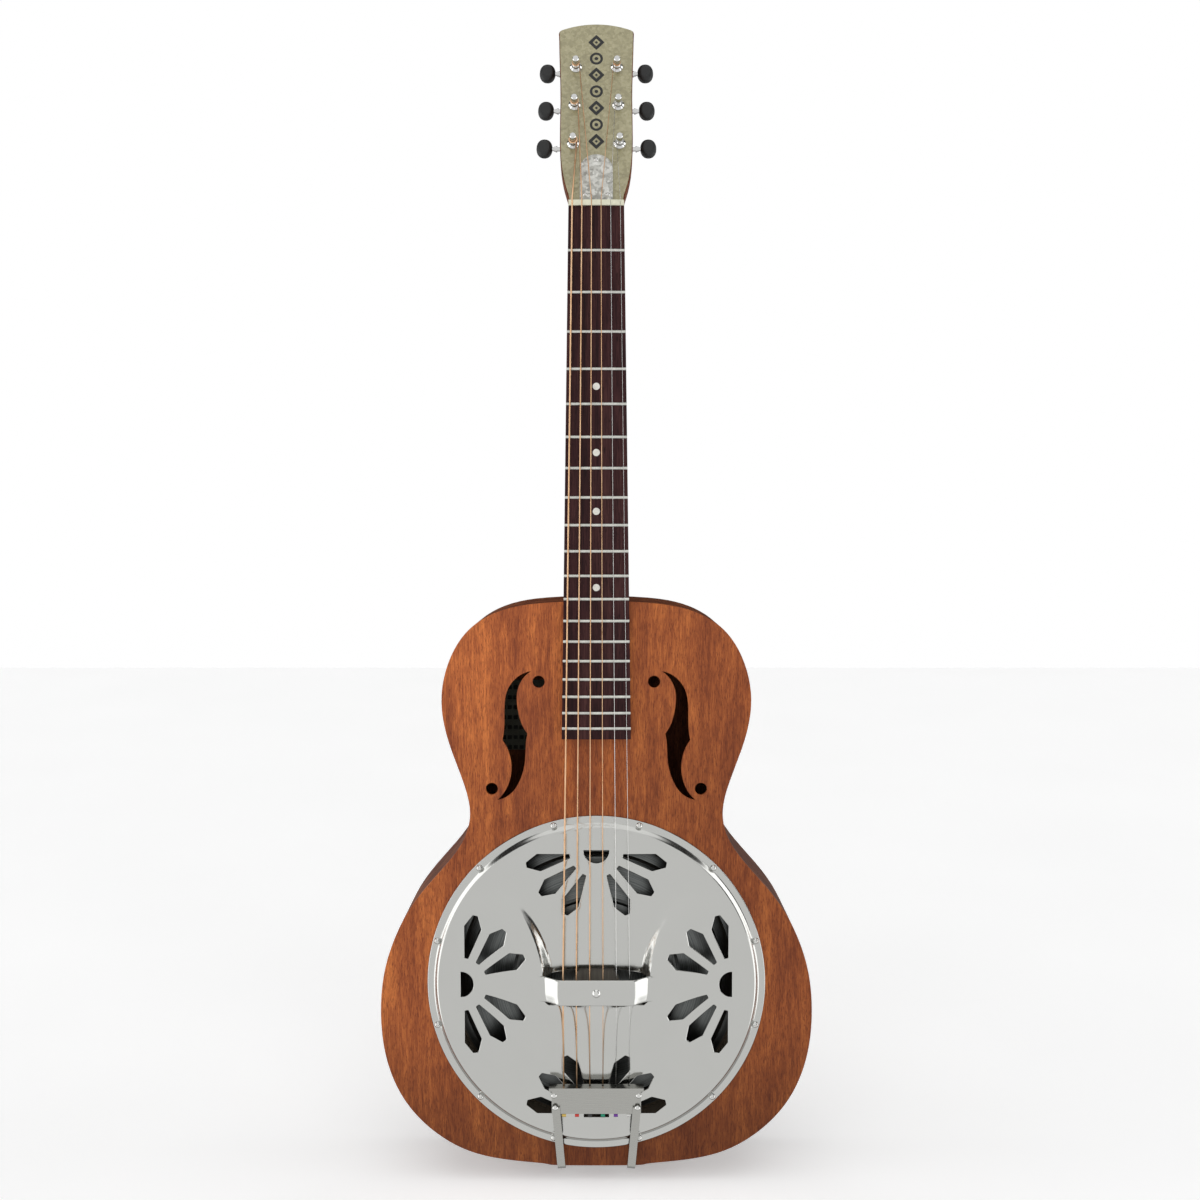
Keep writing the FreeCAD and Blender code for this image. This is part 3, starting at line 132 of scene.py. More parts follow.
CREST_RISE = 9.5
CREST_TOP = 76.0
CREST_FOOT = 84.0
CREST_STRAIGHT = 9.0
CREST_LEAN = 0.07
CREST_BEND_UP = 0.0056
CREST_BEND_DOWN = 0.0050
MOUND_WALL = 7.8
MOUND_WALL_SPREAD = 2.6
MOUND_FALL = 46.0

OPENING_LOW = -13.5
OPENING_HIGH = 14.3
OPENING_BOW = 5.3
OPENING_CORNER = 4.0

HOLE_EDGE_DROP = 0.45
HOLE_ROLL_DROP = 0.12
HOLE_ROLL = 0.35
HOLE_REACH = 0.9
GRID_SPACING = 2.1
GRID_ROW = GRID_SPACING * 0.866

REST_SLOPE = 0.84
REST_SAG = 1.3
REST_SAG_START = -2.0
REST_BLEND = 5.0
REST_EDGE_BLEND = 2.4
REST_ROLL = ((0.0, 1.1), (0.15, 0.55), (0.6, 0.15), (1.3, 0.0))
REST_ROWS = (-7.5, -6.0, -4.5, -3.0, -1.5, 0.0, 4.0, 7.0)

# ---- string routes and the headstock's ornament, in millimetres ----------------

BALL_END_BACK = 11.7
SADDLE_BACK = 2.2
NUT_OVERRUN = 0.4
STRING_BEND = 1.6
COIL_GAP = 0.1
COIL_PITCH = 2.04
COIL_TOP_GAP = 0.4

ORNAMENT_COUNT = 7
ORNAMENT_START = 53.5
ORNAMENT_PITCH = 15.2
ORNAMENT_THICK = 0.08
LOZENGE_POWER = 1.9

NECK_PLACE = Matrix.Translation((0, FRONT / MM - TONGUE, JOINT_Z)) @ Matrix.Rotation(-NECK_ANGLE, 4, "X")
HEAD_PLACE = NECK_PLACE @ Matrix.Translation((0, 0, NUT_S + NUT_THICK)) @ Matrix.Rotation(-HEAD_ANGLE, 4, "X")
TAIL_PLACE = Matrix.Translation((0, FRONT / MM - TAIL_HEIGHT, TAIL_Z)) @ Matrix.Rotation(TAIL_SLOPE, 4, "X")


# ---- building pieces ----------------------------------------------------------

def piece(name, points, faces, material, slot, body="guitar"):
    """A new piece from points in millimetres, riding on a body."""
    mesh = bpy.data.meshes.new(name)
    mesh.from_pydata([Vector(p) * MM for p in points], [], faces)
    mesh.update()
    mesh.shade_smooth()
    mesh.materials.append(material)
    obj = bpy.data.objects.new(name, mesh)
    bpy.context.scene.collection.objects.link(obj)
    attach(obj, body)
    return obj


def tube(path, radius, sides=10):
    """Points and faces of a round tube with closed ends along a smooth path."""
    points = []
    faces = []
    across = None
    for index, centre in enumerate(path):
        before = path[max(index - 1, 0)]
        after = path[min(index + 1, len(path) - 1)]
        along = (after - before).normalized()
        if across is None:
            across = along.orthogonal()
        across = (across - along * across.dot(along)).normalized()
        other = along.cross(across)
        for side in range(sides):
            turn = 2 * math.pi * side / sides
            points.append(centre + (across * math.cos(turn) + other * math.sin(turn)) * radius)
    for ring in range(len(path) - 1):
        for side in range(sides):
            low = ring * sides + side
            next_low = ring * sides + (side + 1) % sides
            faces.append((low, next_low, next_low + sides, low + sides))
    faces.append(tuple(reversed(range(sides))))
    faces.append(tuple(range((len(path) - 1) * sides, len(path) * sides)))
    return points, faces


def rounded_path(corners, radius, steps=6):
    """A path through corners with each inner corner turned into an arc-like bend."""
    path = [corners[0]]
    for before, corner, after in zip(corners, corners[1:], corners[2:]):
        start = corner + (before - corner).normalized() * radius
        end = corner + (after - corner).normalized() * radius
        for step in range(steps + 1):
            t = step / steps
            path.append(start * (1 - t) ** 2 + corner * (2 * t * (1 - t)) + end * t ** 2)
    path.append(corners[-1])
    return path


def combined(parts):
    """Points and faces of several pieces as one."""
    points = []
    faces = []
    for part_points, part_faces in parts:
        start = len(points)
        points.extend(part_points)
        faces.extend([tuple(start + corner for corner in face) for face in part_faces])
    return points, faces


# ---- coverplate ---------------------------------------------------------------

def smooth(value):
    """Ease from 0 to 1 with level ends."""
    value = min(1.0, max(0.0, value))
    return value * value * (3 - 2 * value)


def crest_x(w):
    """Distance of a mound's crest from the centreline, w above the plate's middle."""
    if w >= 0:
        return REST_HALF + CREST_LEAN * w + CREST_BEND_UP * max(0.0, w - CREST_STRAIGHT) ** 2
    return REST_HALF + CREST_BEND_DOWN * max(0.0, -w - CREST_STRAIGHT) ** 2


def crest_rise(w):
    """Height of a mound's crest over the plate."""
    if w >= 0:
        return CREST_RISE * max(0.0, 1 - (w / CREST_TOP) ** 2)
    return CREST_RISE * max(0.0, 1 - (w / CREST_FOOT) ** 2) ** 1.5


def mound(x, w):
    """Height that the raised mounds beside the handrest add to the plate."""
    crest = crest_x(w)
    wall = MOUND_WALL + MOUND_WALL_SPREAD * max(0.0, -w - 5)
    share = min(1.0, max(0.0, (abs(x) - crest + wall) / wall))
    rise = 0.3 * smooth(share) + 0.7 * share
    fall = 1 - smooth((abs(x) - crest) / MOUND_FALL)
    return crest_rise(w) * rise * fall


def plate_level(x, w):
    """Level of the coverplate's outer face inside the rim step."""
    radius = math.hypot(x, w)
    dome = COVER_DOME * (1 - (radius / COVER_STEP_IN) ** 2)
    return COVER_RISE + dome + mound(x, w)


def rounded_loop(corners, radius, spacing=1.6):
    """A closed loop of points round a convex outline, its corners slightly rounded."""
    loop = []
    count = len(corners)
    for index, corner in enumerate(corners):
        before = corners[index - 1]
        after = corners[(index + 1) % count]
        start = corner + (before - corner).normalized() * radius
        end = corner + (after - corner).normalized() * radius
        for t in (0, 0.33, 0.67, 1):
            loop.append(start * (1 - t) ** 2 + corner * (2 * t * (1 - t)) + end * t ** 2)
        run_end = after + (corner - after).normalized() * radius
        steps = max(1, round((run_end - end).length / spacing))
        for step in range(1, steps):
            loop.append(end.lerp(run_end, step / steps))
    return loop


def petal_corners(angle):
    """Corners of one petal hole about the middle of its group."""
    turn = math.radians(angle)
    other_side = [(out, -across) for out, across in reversed(PETAL_SIDE)]
    corners = []
    for out, across in [*PETAL_SIDE, *other_side]:
        x = out * math.cos(turn) - across * math.sin(turn)
        w = out * math.sin(turn) + across * math.cos(turn)
        corners.append(Vector((x, PETAL_CENTRE - w)))
    return corners


def half_disc_corners():
    """Corners round the half-round hole in the middle of a group of petals."""
    corners = []
    for step in range(15):
        turn = math.pi * step / 14
        corners.append(Vector((HALF_DISC_RADIUS * math.cos(turn),
                               PETAL_CENTRE - HALF_DISC_RADIUS * math.sin(turn))))
    return corners


def rest_opening_corners():
    """Corners of the opening under the handrest, bowed along its upper edge."""
    ends = REST_HALF - 0.6
    cut = ends - OPENING_CORNER
    side_low = OPENING_LOW + OPENING_CORNER
    corners = [Vector((-ends, side_low)), Vector((-cut, OPENING_LOW))]
    corners += [Vector((cut, OPENING_LOW)), Vector((ends, side_low))]
    for step in range(13):
        x = ends * (1 - step / 6)
        corners.append(Vector((x, OPENING_HIGH - OPENING_BOW * (x / ends) ** 2)))
    return corners


def turned_corners(corners, quarter):
    """Corners turned by quarter turns about the plate's middle."""
    turn = Matrix.Rotation(-math.pi / 2 * quarter, 2)
    return [turn @ corner for corner in corners]


def hole_loops():
    """The outline of every hole in the coverplate."""
    loops = [rounded_loop(rest_opening_corners(), 0.5)]
    for quarter in range(4):
        loops.append(rounded_loop(turned_corners(half_disc_corners(), quarter), 0.4, 1.2))
        for angle in PETAL_ANGLES:
            loops.append(rounded_loop(turned_corners(petal_corners(angle), quarter), 0.5))
    return loops


def grown(loop, distance):
    """A loop moved outwards by a distance, whichever way round it runs."""
    count = len(loop)
    area = sum(loop[i - 1].x * loop[i].y - loop[i].x * loop[i - 1].y for i in range(count))
    sign = 1 if area > 0 else -1
    points = []
    for index in range(count):
        along = (loop[(index + 1) % count] - loop[index - 1]).normalized()
        points.append(loop[index] + Vector((along.y, -along.x)) * distance * sign)
    return points


def near_hole(point, holes):
    """True where a grid point is inside a hole or too close to its edge."""
    for middle, reach, loop in holes:
        if (point - middle).length > reach:
            continue
        inside = False
        for index in range(len(loop)):
            a = loop[index - 1]
            b = loop[index]
            if (point - b).length < 2.0:
                return True
            if (a.y > point.y) != (b.y > point.y):
                if point.x < a.x + (b.x - a.x) * (point.y - a.y) / (b.y - a.y):
                    inside = not inside
        if inside:
            return True
    return False


def plate_face():
    """The pierced face of the coverplate as (x, w, level) points and triangles."""
    flat = []
    drops = []
    edges = []

    def add_loop(loop, drop):
        start = len(flat)
        flat.extend(loop)
        drops.extend([drop] * len(loop))
        edges.extend([(start + i, start + (i + 1) % len(loop)) for i in range(len(loop))])
        return start, len(flat)

    turns = [2 * math.pi * step / RIM_COUNT for step in range(RIM_COUNT)]
    add_loop([Vector((math.sin(turn), math.cos(turn))) * COVER_SEAM for turn in turns], 0.0)
    hole_ranges = []
    holes = []
    for loop in hole_loops():
        hole_ranges.append(add_loop(loop, HOLE_EDGE_DROP))
        add_loop(grown(loop, HOLE_ROLL), HOLE_ROLL_DROP)
        outer = grown(loop, HOLE_REACH)
        add_loop(outer, 0.0)
        middle = sum(outer, Vector((0, 0))) / len(outer)
        holes.append((middle, max((p - middle).length for p in outer) + 2.5, outer))
    rows = int(COVER_SEAM / GRID_ROW) + 1
    for row in range(-rows, rows + 1):
        for column in range(-rows, rows + 1):
            point = Vector(((column + 0.5 * (row % 2)) * GRID_SPACING, row * GRID_ROW))
            if point.length < COVER_SEAM - 1.4 and not near_hole(point, holes):
                flat.append(point)
                drops.append(0.0)
    result = delaunay_2d_cdt(flat, edges, [], 1, 1e-5)
    vertices, triangles, origins = result[0], result[2], result[3]
    hole_of = {}
    for number, (start, end) in enumerate(hole_ranges):
        for index in range(start, end):
            hole_of[index] = number
    points = []
    holes_here = []
    for vertex, origin in zip(vertices, origins):
        level = plate_level(vertex.x, vertex.y)
        drop = drops[origin[0]] if origin else 0.0
        points.append((vertex.x, vertex.y, level - drop))
        holes_here.append(hole_of.get(origin[0], -1) if origin else -1)
    faces = []
    for triangle in triangles:
        owners = {holes_here[corner] for corner in triangle}
        if len(owners) > 1 or -1 in owners:
            faces.append(tuple(triangle))
    return points, faces


def rim_profile():
    """(radius, level) points from the plate's face down the step to the flange's edge."""
    base = plate_level(COVER_SEAM, 0)
    bead = base + BEAD_RISE
    crown = COVER_STEP_IN + 0.7
    profile = [(COVER_SEAM, base), (COVER_SEAM + 0.5, base + 0.12)]
    profile += [(COVER_STEP_IN, base + 0.30), (crown, bead)]
    run = COVER_STEP_OUT - crown
    for step in range(1, 13):
        share = step / 12
        eased = 0.45 * share + 0.55 * smooth(share)
        profile.append((crown + run * share, bead + (COVER_SHEET - bead) * eased))
    profile.append((COVER_STEP_OUT + 0.6, COVER_SHEET))
    profile.append((COVER_RADIUS - 1.0, COVER_SHEET))
    profile.append((COVER_RADIUS - 0.4, COVER_SHEET - 0.1))
    profile.append((COVER_RADIUS, COVER_SHEET - 0.5))
    profile.append((COVER_RADIUS, 0.05))
    return profile


def seated(radius, turn, level):
    """The step's level, pressed flat round the nearest rim screw."""
    apart = 2 * math.pi / COVER_SCREW_COUNT
    nearest = apart * (round(turn / apart - 0.5) + 0.5)
    away = math.hypot(radius - COVER_SCREW_CIRCLE, radius * (turn - nearest))
    return min(level, COVER_SHEET + max(0.0, away - SCREW_SEAT_RADIUS) * SCREW_SEAT_SLOPE)


def rim_shell():
    """The step and flange, turned about the plate's middle."""
    profile = rim_profile()
    points = []
    faces = []
    for step in range(RIM_COUNT):
        turn = 2 * math.pi * step / RIM_COUNT
        for radius, level in profile:
            x = radius * math.sin(turn)
            w = radius * math.cos(turn)
            level += mound(x, w) * (1 - smooth((radius - COVER_SEAM) / SEAM_FADE))
            points.append((x, w, seated(radius, turn, level)))
    size = len(profile)
    for step in range(RIM_COUNT):
        here = step * size
        there = (step + 1) % RIM_COUNT * size
        for index in range(size - 1):
            faces.append((here + index, there + index, there + index + 1, here + index + 1))
    return points, faces


def blend_rise(apart, width):
    """How far a rounded join of two levels stands off their corner, from how far apart they are."""
    return max(0.0, width - abs(apart)) ** 2 / (4 * width)


def rest_level(x, w):
    """Level of the handrest's outer face: a flat top, sloping ends and feet melting into the mounds."""
    sagging = smooth((REST_SAG_START - w) / (REST_SAG_START - REST_LOW))
    sag = REST_SAG * sagging * smooth((x - REST_FLAT_HALF + 2) / 7)
    slope = REST_TOP - REST_SLOPE * (x - REST_FLAT_HALF) - sag
    under = plate_level(x, w) + 0.02 - 0.5 * smooth((x - crest_x(w) - 5.5) / 5)
    level = max(slope, under) + blend_rise(slope - under, REST_BLEND)
    return min(level, REST_TOP) - blend_rise(level - REST_TOP, REST_EDGE_BLEND)


def handrest_shell():
    """The arched strip over the saddle, its long edges rolled down and its feet lying on the mounds."""
    rows = [(REST_LOW + inset, drop) for inset, drop in REST_ROLL]
    rows += [(w, 0.0) for w in REST_ROWS]
    rows += [(REST_HIGH - inset, drop) for inset, drop in reversed(REST_ROLL)]
    flat = REST_FLAT_HALF - 5
    half = [0.0, flat / 2] + [flat + 0.6 * step for step in range(43)]
    across = [-x for x in reversed(half)] + half[1:]
    points = []
    for w, drop in rows:
        for x in across:
            points.append((x, w, rest_level(abs(x), w) - drop))
    width = len(across)
    faces = []
    for row in range(len(rows) - 1):
        for column in range(width - 1):
            low = row * width + column
            faces.append((low, low + 1, low + width + 1, low + width))
    return points, faces


def plate_points(points):
    """Plate coordinates (x, w, level) as millimetres in the object's frame."""
    return [(x, FRONT / MM - level, COVER_Z / MM + w) for x, w, level in points]


def coverplate(material):
    """The pressed coverplate in one shell with the thickness of its sheet."""
    face = plate_face()
    points, faces = combined([face, rim_shell(), handrest_shell()])
    obj = piece("coverplate_pressing", plate_points(points), faces, material, "chrome_plate")
    weld = obj.modifiers.new("weld", "WELD")
    weld.merge_threshold = 0.02 * MM
    sheet = obj.modifiers.new("sheet", "SOLIDIFY")
    sheet.thickness = (COVER_SHEET - 0.1) * MM
    sheet.offset = -1
    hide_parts("coverplate")


# ---- strings ------------------------------------------------------------------

def spread(half_width, index):
    """Sideways place of one of six evenly spaced strings."""
    return half_width * (2 * index / 5 - 1)


def string_level(index, action, x):
    """Height of a string's centre over the glue plane, following the board's curve."""
    return action + STRING_RADII[index] - x * x / (2 * BOARD_RADIUS)


def tuner_of(index):
    """Sign of the side, place number and body name of a string's post."""
    if index < 3:
        return -1, index, "post_bass_" + ("low", "mid", "top")[index]
    return 1, 5 - index, "post_treble_" + ("low", "mid", "top")[5 - index]


def tuner_place(index):
    """Matrix from a string post's own directions to millimetres in the object's frame."""
    sign, place, body = tuner_of(index)
    turned = Matrix.Translation((POST_X[place], 0, POST_T[place])) @ Matrix.Rotation(-PLATE_SLANT, 4, "Y")
    return HEAD_PLACE @ Matrix.Diagonal((sign, 1, 1, 1)) @ turned


def coil_start(index):
    """Where a string meets its coil, in the post's own directions."""
    radius = STRING_RADII[index]
    return Vector((-(WAIST_RADIUS + radius), -(WAIST_LOW + radius + COIL_GAP), 0))


def string_corners(index):
    """The corners of one string's route from its ball end to its post."""
    x_nut = spread(NUT_SPREAD, index)
    x_saddle = spread(SADDLE_SPREAD, index)
    x_tail = spread(TAIL_SPREAD, index)
    nut_out = -string_level(index, NUT_ACTION, x_nut)
    saddle_out = -string_level(index, SADDLE_ACTION, x_saddle)
    return [
        TAIL_PLACE @ Vector((x_tail, 0, -BALL_END_BACK)),
        NECK_PLACE @ Vector((x_saddle, saddle_out, -NUT_S - SADDLE_BACK)),
        NECK_PLACE @ Vector((x_nut, nut_out, NUT_S)),
        NECK_PLACE @ Vector((x_nut, nut_out, NUT_S + NUT_THICK + NUT_OVERRUN)),
        tuner_place(index) @ coil_start(index),
    ]


def string_shell(index):
    """One string from its ball end to its coil."""
    return tube(rounded_path(string_corners(index), STRING_BEND), STRING_RADII[index], 12)


def coil_shell(index):
    """The turns of one string round its post, ending in the post's hole."""
    radius = STRING_RADII[index]
    start = coil_start(index)
    ring = WAIST_RADIUS + radius
    room = POST_HOLE - COIL_TOP_GAP - (WAIST_LOW + radius + COIL_GAP)
    turns = max(1, min(4, int(room / (COIL_PITCH * radius)))) + 0.35
    steps = int(turns * 20)
    path = []
    for step in range(steps + 1):
        turn = 2 * math.pi * turns * step / steps
        out = start.y - room * step / steps
        path.append(Vector((-ring * math.cos(turn), out, ring * math.sin(turn))))
    last = path[-1]
    path.append(Vector((last.x * 0.55, last.y - 0.2, last.z * 0.55)))
    path.append(Vector((0, -POST_HOLE, 0)))
    place = tuner_place(index)
    return tube([place @ point for point in path], radius, 10)


def strings(wound, plain):
    """The six strings and the coils on their posts."""
    wound_parts = combined([string_shell(index) for index in range(WOUND_COUNT)])
    obj = piece("wound_string_set", *wound_parts, wound, "wound_bronze")
    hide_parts("wound_strings")
    plain_parts = combined([string_shell(index) for index in range(WOUND_COUNT, 6)])
    obj = piece("plain_string_set", *plain_parts, plain, "plain_steel")
    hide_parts("plain_strings")
    for index in range(6):
        body = tuner_of(index)[2]
        if index < WOUND_COUNT:
            piece("coil_" + body, *coil_shell(index), wound, "wound_bronze", body)
        else:
            piece("coil_" + body, *coil_shell(index), plain, "plain_steel", body)


# ---- headstock ornament -------------------------------------------------------

def flat_shape(outline, hole=None):
    """A thin inlay on the headstock's face from a convex outline, with an optional hole."""
    base = FACING + 0.01
    count = len(outline)
    points = []
    for out in (base, base + ORNAMENT_THICK):
        points.extend([HEAD_PLACE @ Vector((x, -out, along)) for x, along in outline])
        if hole:
            points.extend([HEAD_PLACE @ Vector((x, -out, along)) for x, along in hole])
    layer = count * 2 if hole else count
    faces = []
    for i in range(count):
        j = (i + 1) % count
        faces.append((i, j, layer + j, layer + i))
        if hole:
            faces.append((layer + i, layer + j, layer + count + j, layer + count + i))
            faces.append((i, count + i, count + j, j))
            faces.append((count + i, layer + count + i, layer + count + j, count + j))
    if not hole:
        faces.append(tuple(range(layer, layer * 2)))
        faces.append(tuple(reversed(range(count))))
    return points, faces


def ring_outline(half_x, half_z, along, power=1.0, count=32):
    """A closed outline between an oval (power 1) and a lozenge (power 2)."""
    outline = []
    for step in range(count):
        turn = 2 * math.pi * step / count
        x = math.copysign(abs(math.cos(turn)) ** power, math.cos(turn))
        z = math.copysign(abs(math.sin(turn)) ** power, math.sin(turn))
        outline.append((half_x * x, along + half_z * z))
    return outline


def framed_dot(along, outer, inner, dot, power=1.0):
    """A frame with a dot in its middle, from half sizes."""
    band = flat_shape(ring_outline(*outer, along, power), ring_outline(*inner, along, power))
    return [band, flat_shape(ring_outline(dot, dot, along, power))]


def headstock_ornament(material):
    """A column of lozenges and rings down the middle of the headstock."""
    parts = []
    for number in range(ORNAMENT_COUNT):
        along = ORNAMENT_START + ORNAMENT_PITCH * number
        if number % 2 == 0:
            parts += framed_dot(along, (6.6, 6.9), (3.2, 3.4), 1.3, LOZENGE_POWER)
        else:
            parts += framed_dot(along, (5.4, 5.6), (3.4, 3.6), 1.5)
    obj = piece("headstock_ornament", *combined(parts), material, "black_button")
    obj.data.shade_flat()


# ---- materials ----------------------------------------------------------------

class Nodes:
    """A node tree, with short ways to add to it."""

    def __init__(self, owner):
        owner.use_nodes = True
        self.nodes = owner.node_tree.nodes
        self.links = owner.node_tree.links

    def put(self, socket, value):
        """Link a socket to another one, or give it a constant."""
        if isinstance(value, bpy.types.NodeSocket):
            self.links.new(value, socket)
        else:
            socket.default_value = value

    def add(self, kind, inputs=None, **settings):
        """A new node with its settings and inputs."""
        node = self.nodes.new(kind)
        for name, value in settings.items():
            setattr(node, name, value)
        for name, value in (inputs or {}).items():
            self.put(node.inputs[name], value)
        return node

    def math(self, operation, first, second=0.0, third=0.0):
        """One arithmetic step."""
        node = self.add("ShaderNodeMath", operation=operation)
        for socket, value in zip(node.inputs, (first, second, third)):
            self.put(socket, value)
        return node.outputs[0]

    def sum(self, *values):
        """Several values added."""
        result = values[0]
        for value in values[1:]:
            result = self.math("ADD", result, value)
        return result

    def product(self, *factors):
        """Several values multiplied."""
        result = factors[0]
        for factor in factors[1:]:
            result = self.math("MULTIPLY", result, factor)
        return result

    def between(self, value, low, high, to_low=0.0, to_high=1.0):
        """A value eased from one range into another and held at its ends."""
        inputs = {"Value": value, "From Min": low, "From Max": high, "To Min": to_low, "To Max": to_high}
        return self.add("ShaderNodeMapRange", inputs, interpolation_type="SMOOTHSTEP").outputs["Result"]


class Tree(Nodes):
    """A material's node tree."""

    def __init__(self, name):
        self.material = bpy.data.materials.new(name)
        super().__init__(self.material)
        self.shader = self.nodes["Principled BSDF"]
        self.place = self.add("ShaderNodeTexCoord").outputs["Object"]

    def finish(self, **sockets):
        """Set the main shader's sockets, named with _ for a space."""
        for name, value in sockets.items():
            self.put(self.shader.inputs[name.replace("_", " ")], value)
        return self.material

    def stretched(self, x, y, z):
        """Object coordinates multiplied along each axis."""
        return self.add("ShaderNodeMapping", {"Vector": self.place, "Scale": (x, y, z)}).outputs["Vector"]

    def noise(self, vector, detail=3.0, roughness=0.55, distortion=0.0):
        """Noise with a feature size of one in the vector's own units."""
        inputs = {"Vector": vector, "Scale": 1.0, "Detail": detail}
        inputs.update({"Roughness": roughness, "Distortion": distortion})
        return self.add("ShaderNodeTexNoise", inputs).outputs["Fac"]

    def share(self, value, low, high):
        """How far a value is on its way from low to high."""
        inputs = {"Value": value, "From Min": low, "From Max": high}
        return self.add("ShaderNodeMapRange", inputs).outputs["Result"]

    def ramp(self, value, stops, interpolation="LINEAR"):
        """Colours along a value, from (position, colour) stops."""
        node = self.add("ShaderNodeValToRGB", {"Fac": value})
        node.color_ramp.interpolation = interpolation
        elements = node.color_ramp.elements
        while len(elements) < len(stops):
            elements.new(0.5)
        for element, (position, colour) in zip(elements, stops):
            element.position = position
            element.color = (*colour, 1.0)
        return node.outputs["Color"]

    def mix(self, factor, first, second, blend="MIX"):
        """Two colours mixed."""
        node = self.add("ShaderNodeMix", data_type="RGBA", blend_type=blend)
        for socket, value in ((node.inputs[0], factor), (node.inputs[6], first), (node.inputs[7], second)):
            if isinstance(value, tuple) and len(value) == 3:
                value = (*value, 1.0)
            self.put(socket, value)
        return node.outputs[2]

    def bump(self, height, distance, strength=1.0, normal=None):
        """A bump normal from a height whose full swing is a distance in metres."""
        inputs = {"Height": height, "Distance": distance, "Strength": strength}
        if normal is not None:
            inputs["Normal"] = normal
        return self.add("ShaderNodeBump", inputs).outputs["Normal"]


def mahogany(name, pale, middle, dark, pore, shine):
    """Open-pored mahogany with a satin finish, its grain along Z, and painted shade: lighter on the left and
    at the top, darker towards the bottom.
    """
    tree = Tree(name)
    ribbons = tree.noise(tree.stretched(48, 48, 6), 4.0, 0.6, 0.8)
    mottle = tree.noise(tree.stretched(260, 260, 70), 3.0, 0.6, 0.5)
    fibres = tree.noise(tree.stretched(1300, 1300, 70), 4.0, 0.68)
    blend = tree.sum(tree.product(ribbons, 0.42), tree.product(mottle, 0.22), tree.product(fibres, 0.36))
    colour = tree.ramp(blend, [(0.38, dark), (0.50, middle), (0.62, pale)])
    pores = tree.noise(tree.stretched(2300, 2300, 260), 1.0, 0.5)
    pore_mask = tree.between(pores, 0.54, 0.68)
    colour = tree.mix(tree.product(pore_mask, 0.62), colour, pore)
    # Painted shade, multiplied into the wood's colour: lighter to the left and at the top, darker towards the
    # bottom.
    place = tree.add("ShaderNodeSeparateXYZ", {"Vector": tree.place})
    lean = tree.between(place.outputs["X"], -0.14, 0.09, 1.10, 0.84)
    foot = tree.between(place.outputs["Z"], 0.005, 0.15, 0.50, 0.92)
    crown = tree.between(place.outputs["Z"], 0.28, 0.44, 1.0, 1.24)
    painted_shade = tree.product(lean, foot, crown)
    painted_shade_grey = tree.add("ShaderNodeCombineColor", {"Red": painted_shade, "Green": painted_shade, "Blue": painted_shade}).outputs["Color"]
    colour = tree.mix(1.0, colour, painted_shade_grey, "MULTIPLY")
    roughness = tree.between(fibres, 0.3, 0.7, 0.38, 0.50)
    height = tree.math("SUBTRACT", tree.product(fibres, 0.35), pore_mask)
    normal = tree.bump(height, 0.00006, 0.5)
    return tree.finish(Base_Color=colour, Roughness=roughness, Normal=normal, Specular_IOR_Level=shine)


def rosewood():
    """Dark, oiled rosewood for the fingerboard."""
    tree = Tree("rosewood")
    bands = tree.noise(tree.stretched(160, 160, 4), 3.0, 0.6, 0.5)
    fibres = tree.noise(tree.stretched(1300, 1300, 30), 4.0, 0.6)
    blend = tree.sum(tree.product(bands, 0.5), tree.product(fibres, 0.5))
    colour = tree.ramp(blend, [(0.36, (0.016, 0.007, 0.008)), (0.50, (0.038, 0.014, 0.015)),
                               (0.66, (0.075, 0.030, 0.028))])
    pores = tree.between(tree.noise(tree.stretched(1700, 1700, 120), 1.0), 0.61, 0.70)
    colour = tree.mix(tree.product(pores, 0.7), colour, (0.010, 0.006, 0.006))
    normal = tree.bump(tree.math("SUBTRACT", fibres, pores), 0.00005, 0.5)
    rough = tree.between(fibres, 0.3, 0.7, 0.45, 0.58)
    return tree.finish(Base_Color=colour, Roughness=rough, Normal=normal, Specular_IOR_Level=0.08)


def raw_wood(name, pale, dark):
    """Unfinished wood inside the body."""
    tree = Tree(name)
    fibres = tree.noise(tree.stretched(700, 700, 40), 4.0, 0.6)
    colour = tree.ramp(fibres, [(0.3, dark), (0.7, pale)])
    return tree.finish(Base_Color=colour, Roughness=0.75, Normal=tree.bump(fibres, 0.00004, 0.6))


def polished_plate(name, colour, roughness, smudge):
    """Polished plating with faint smudges and hairline polishing marks."""
    tree = Tree(name)
    clouds = tree.noise(tree.stretched(40, 40, 40), 4.0, 0.65, 0.8)
    hairs = tree.noise(tree.stretched(300, 300, 3200), 2.0, 0.5)
    rough = tree.between(clouds, 0.35, 0.75, roughness, roughness + smudge)
    normal = tree.bump(hairs, 0.000002, 0.3)
    return tree.finish(Base_Color=(*colour, 1.0), Metallic=1.0, Roughness=rough, Normal=normal)


def satin_plate(name, colour):
    """Satin plating with fine brushing across the part."""
    tree = Tree(name)
    brushing = tree.noise(tree.stretched(90, 3000, 3000), 3.0, 0.6)
    rough = tree.between(brushing, 0.3, 0.7, 0.20, 0.32)
    normal = tree.bump(brushing, 0.000008, 0.35)
    return tree.finish(Base_Color=(*colour, 1.0), Metallic=1.0, Roughness=rough, Normal=normal)


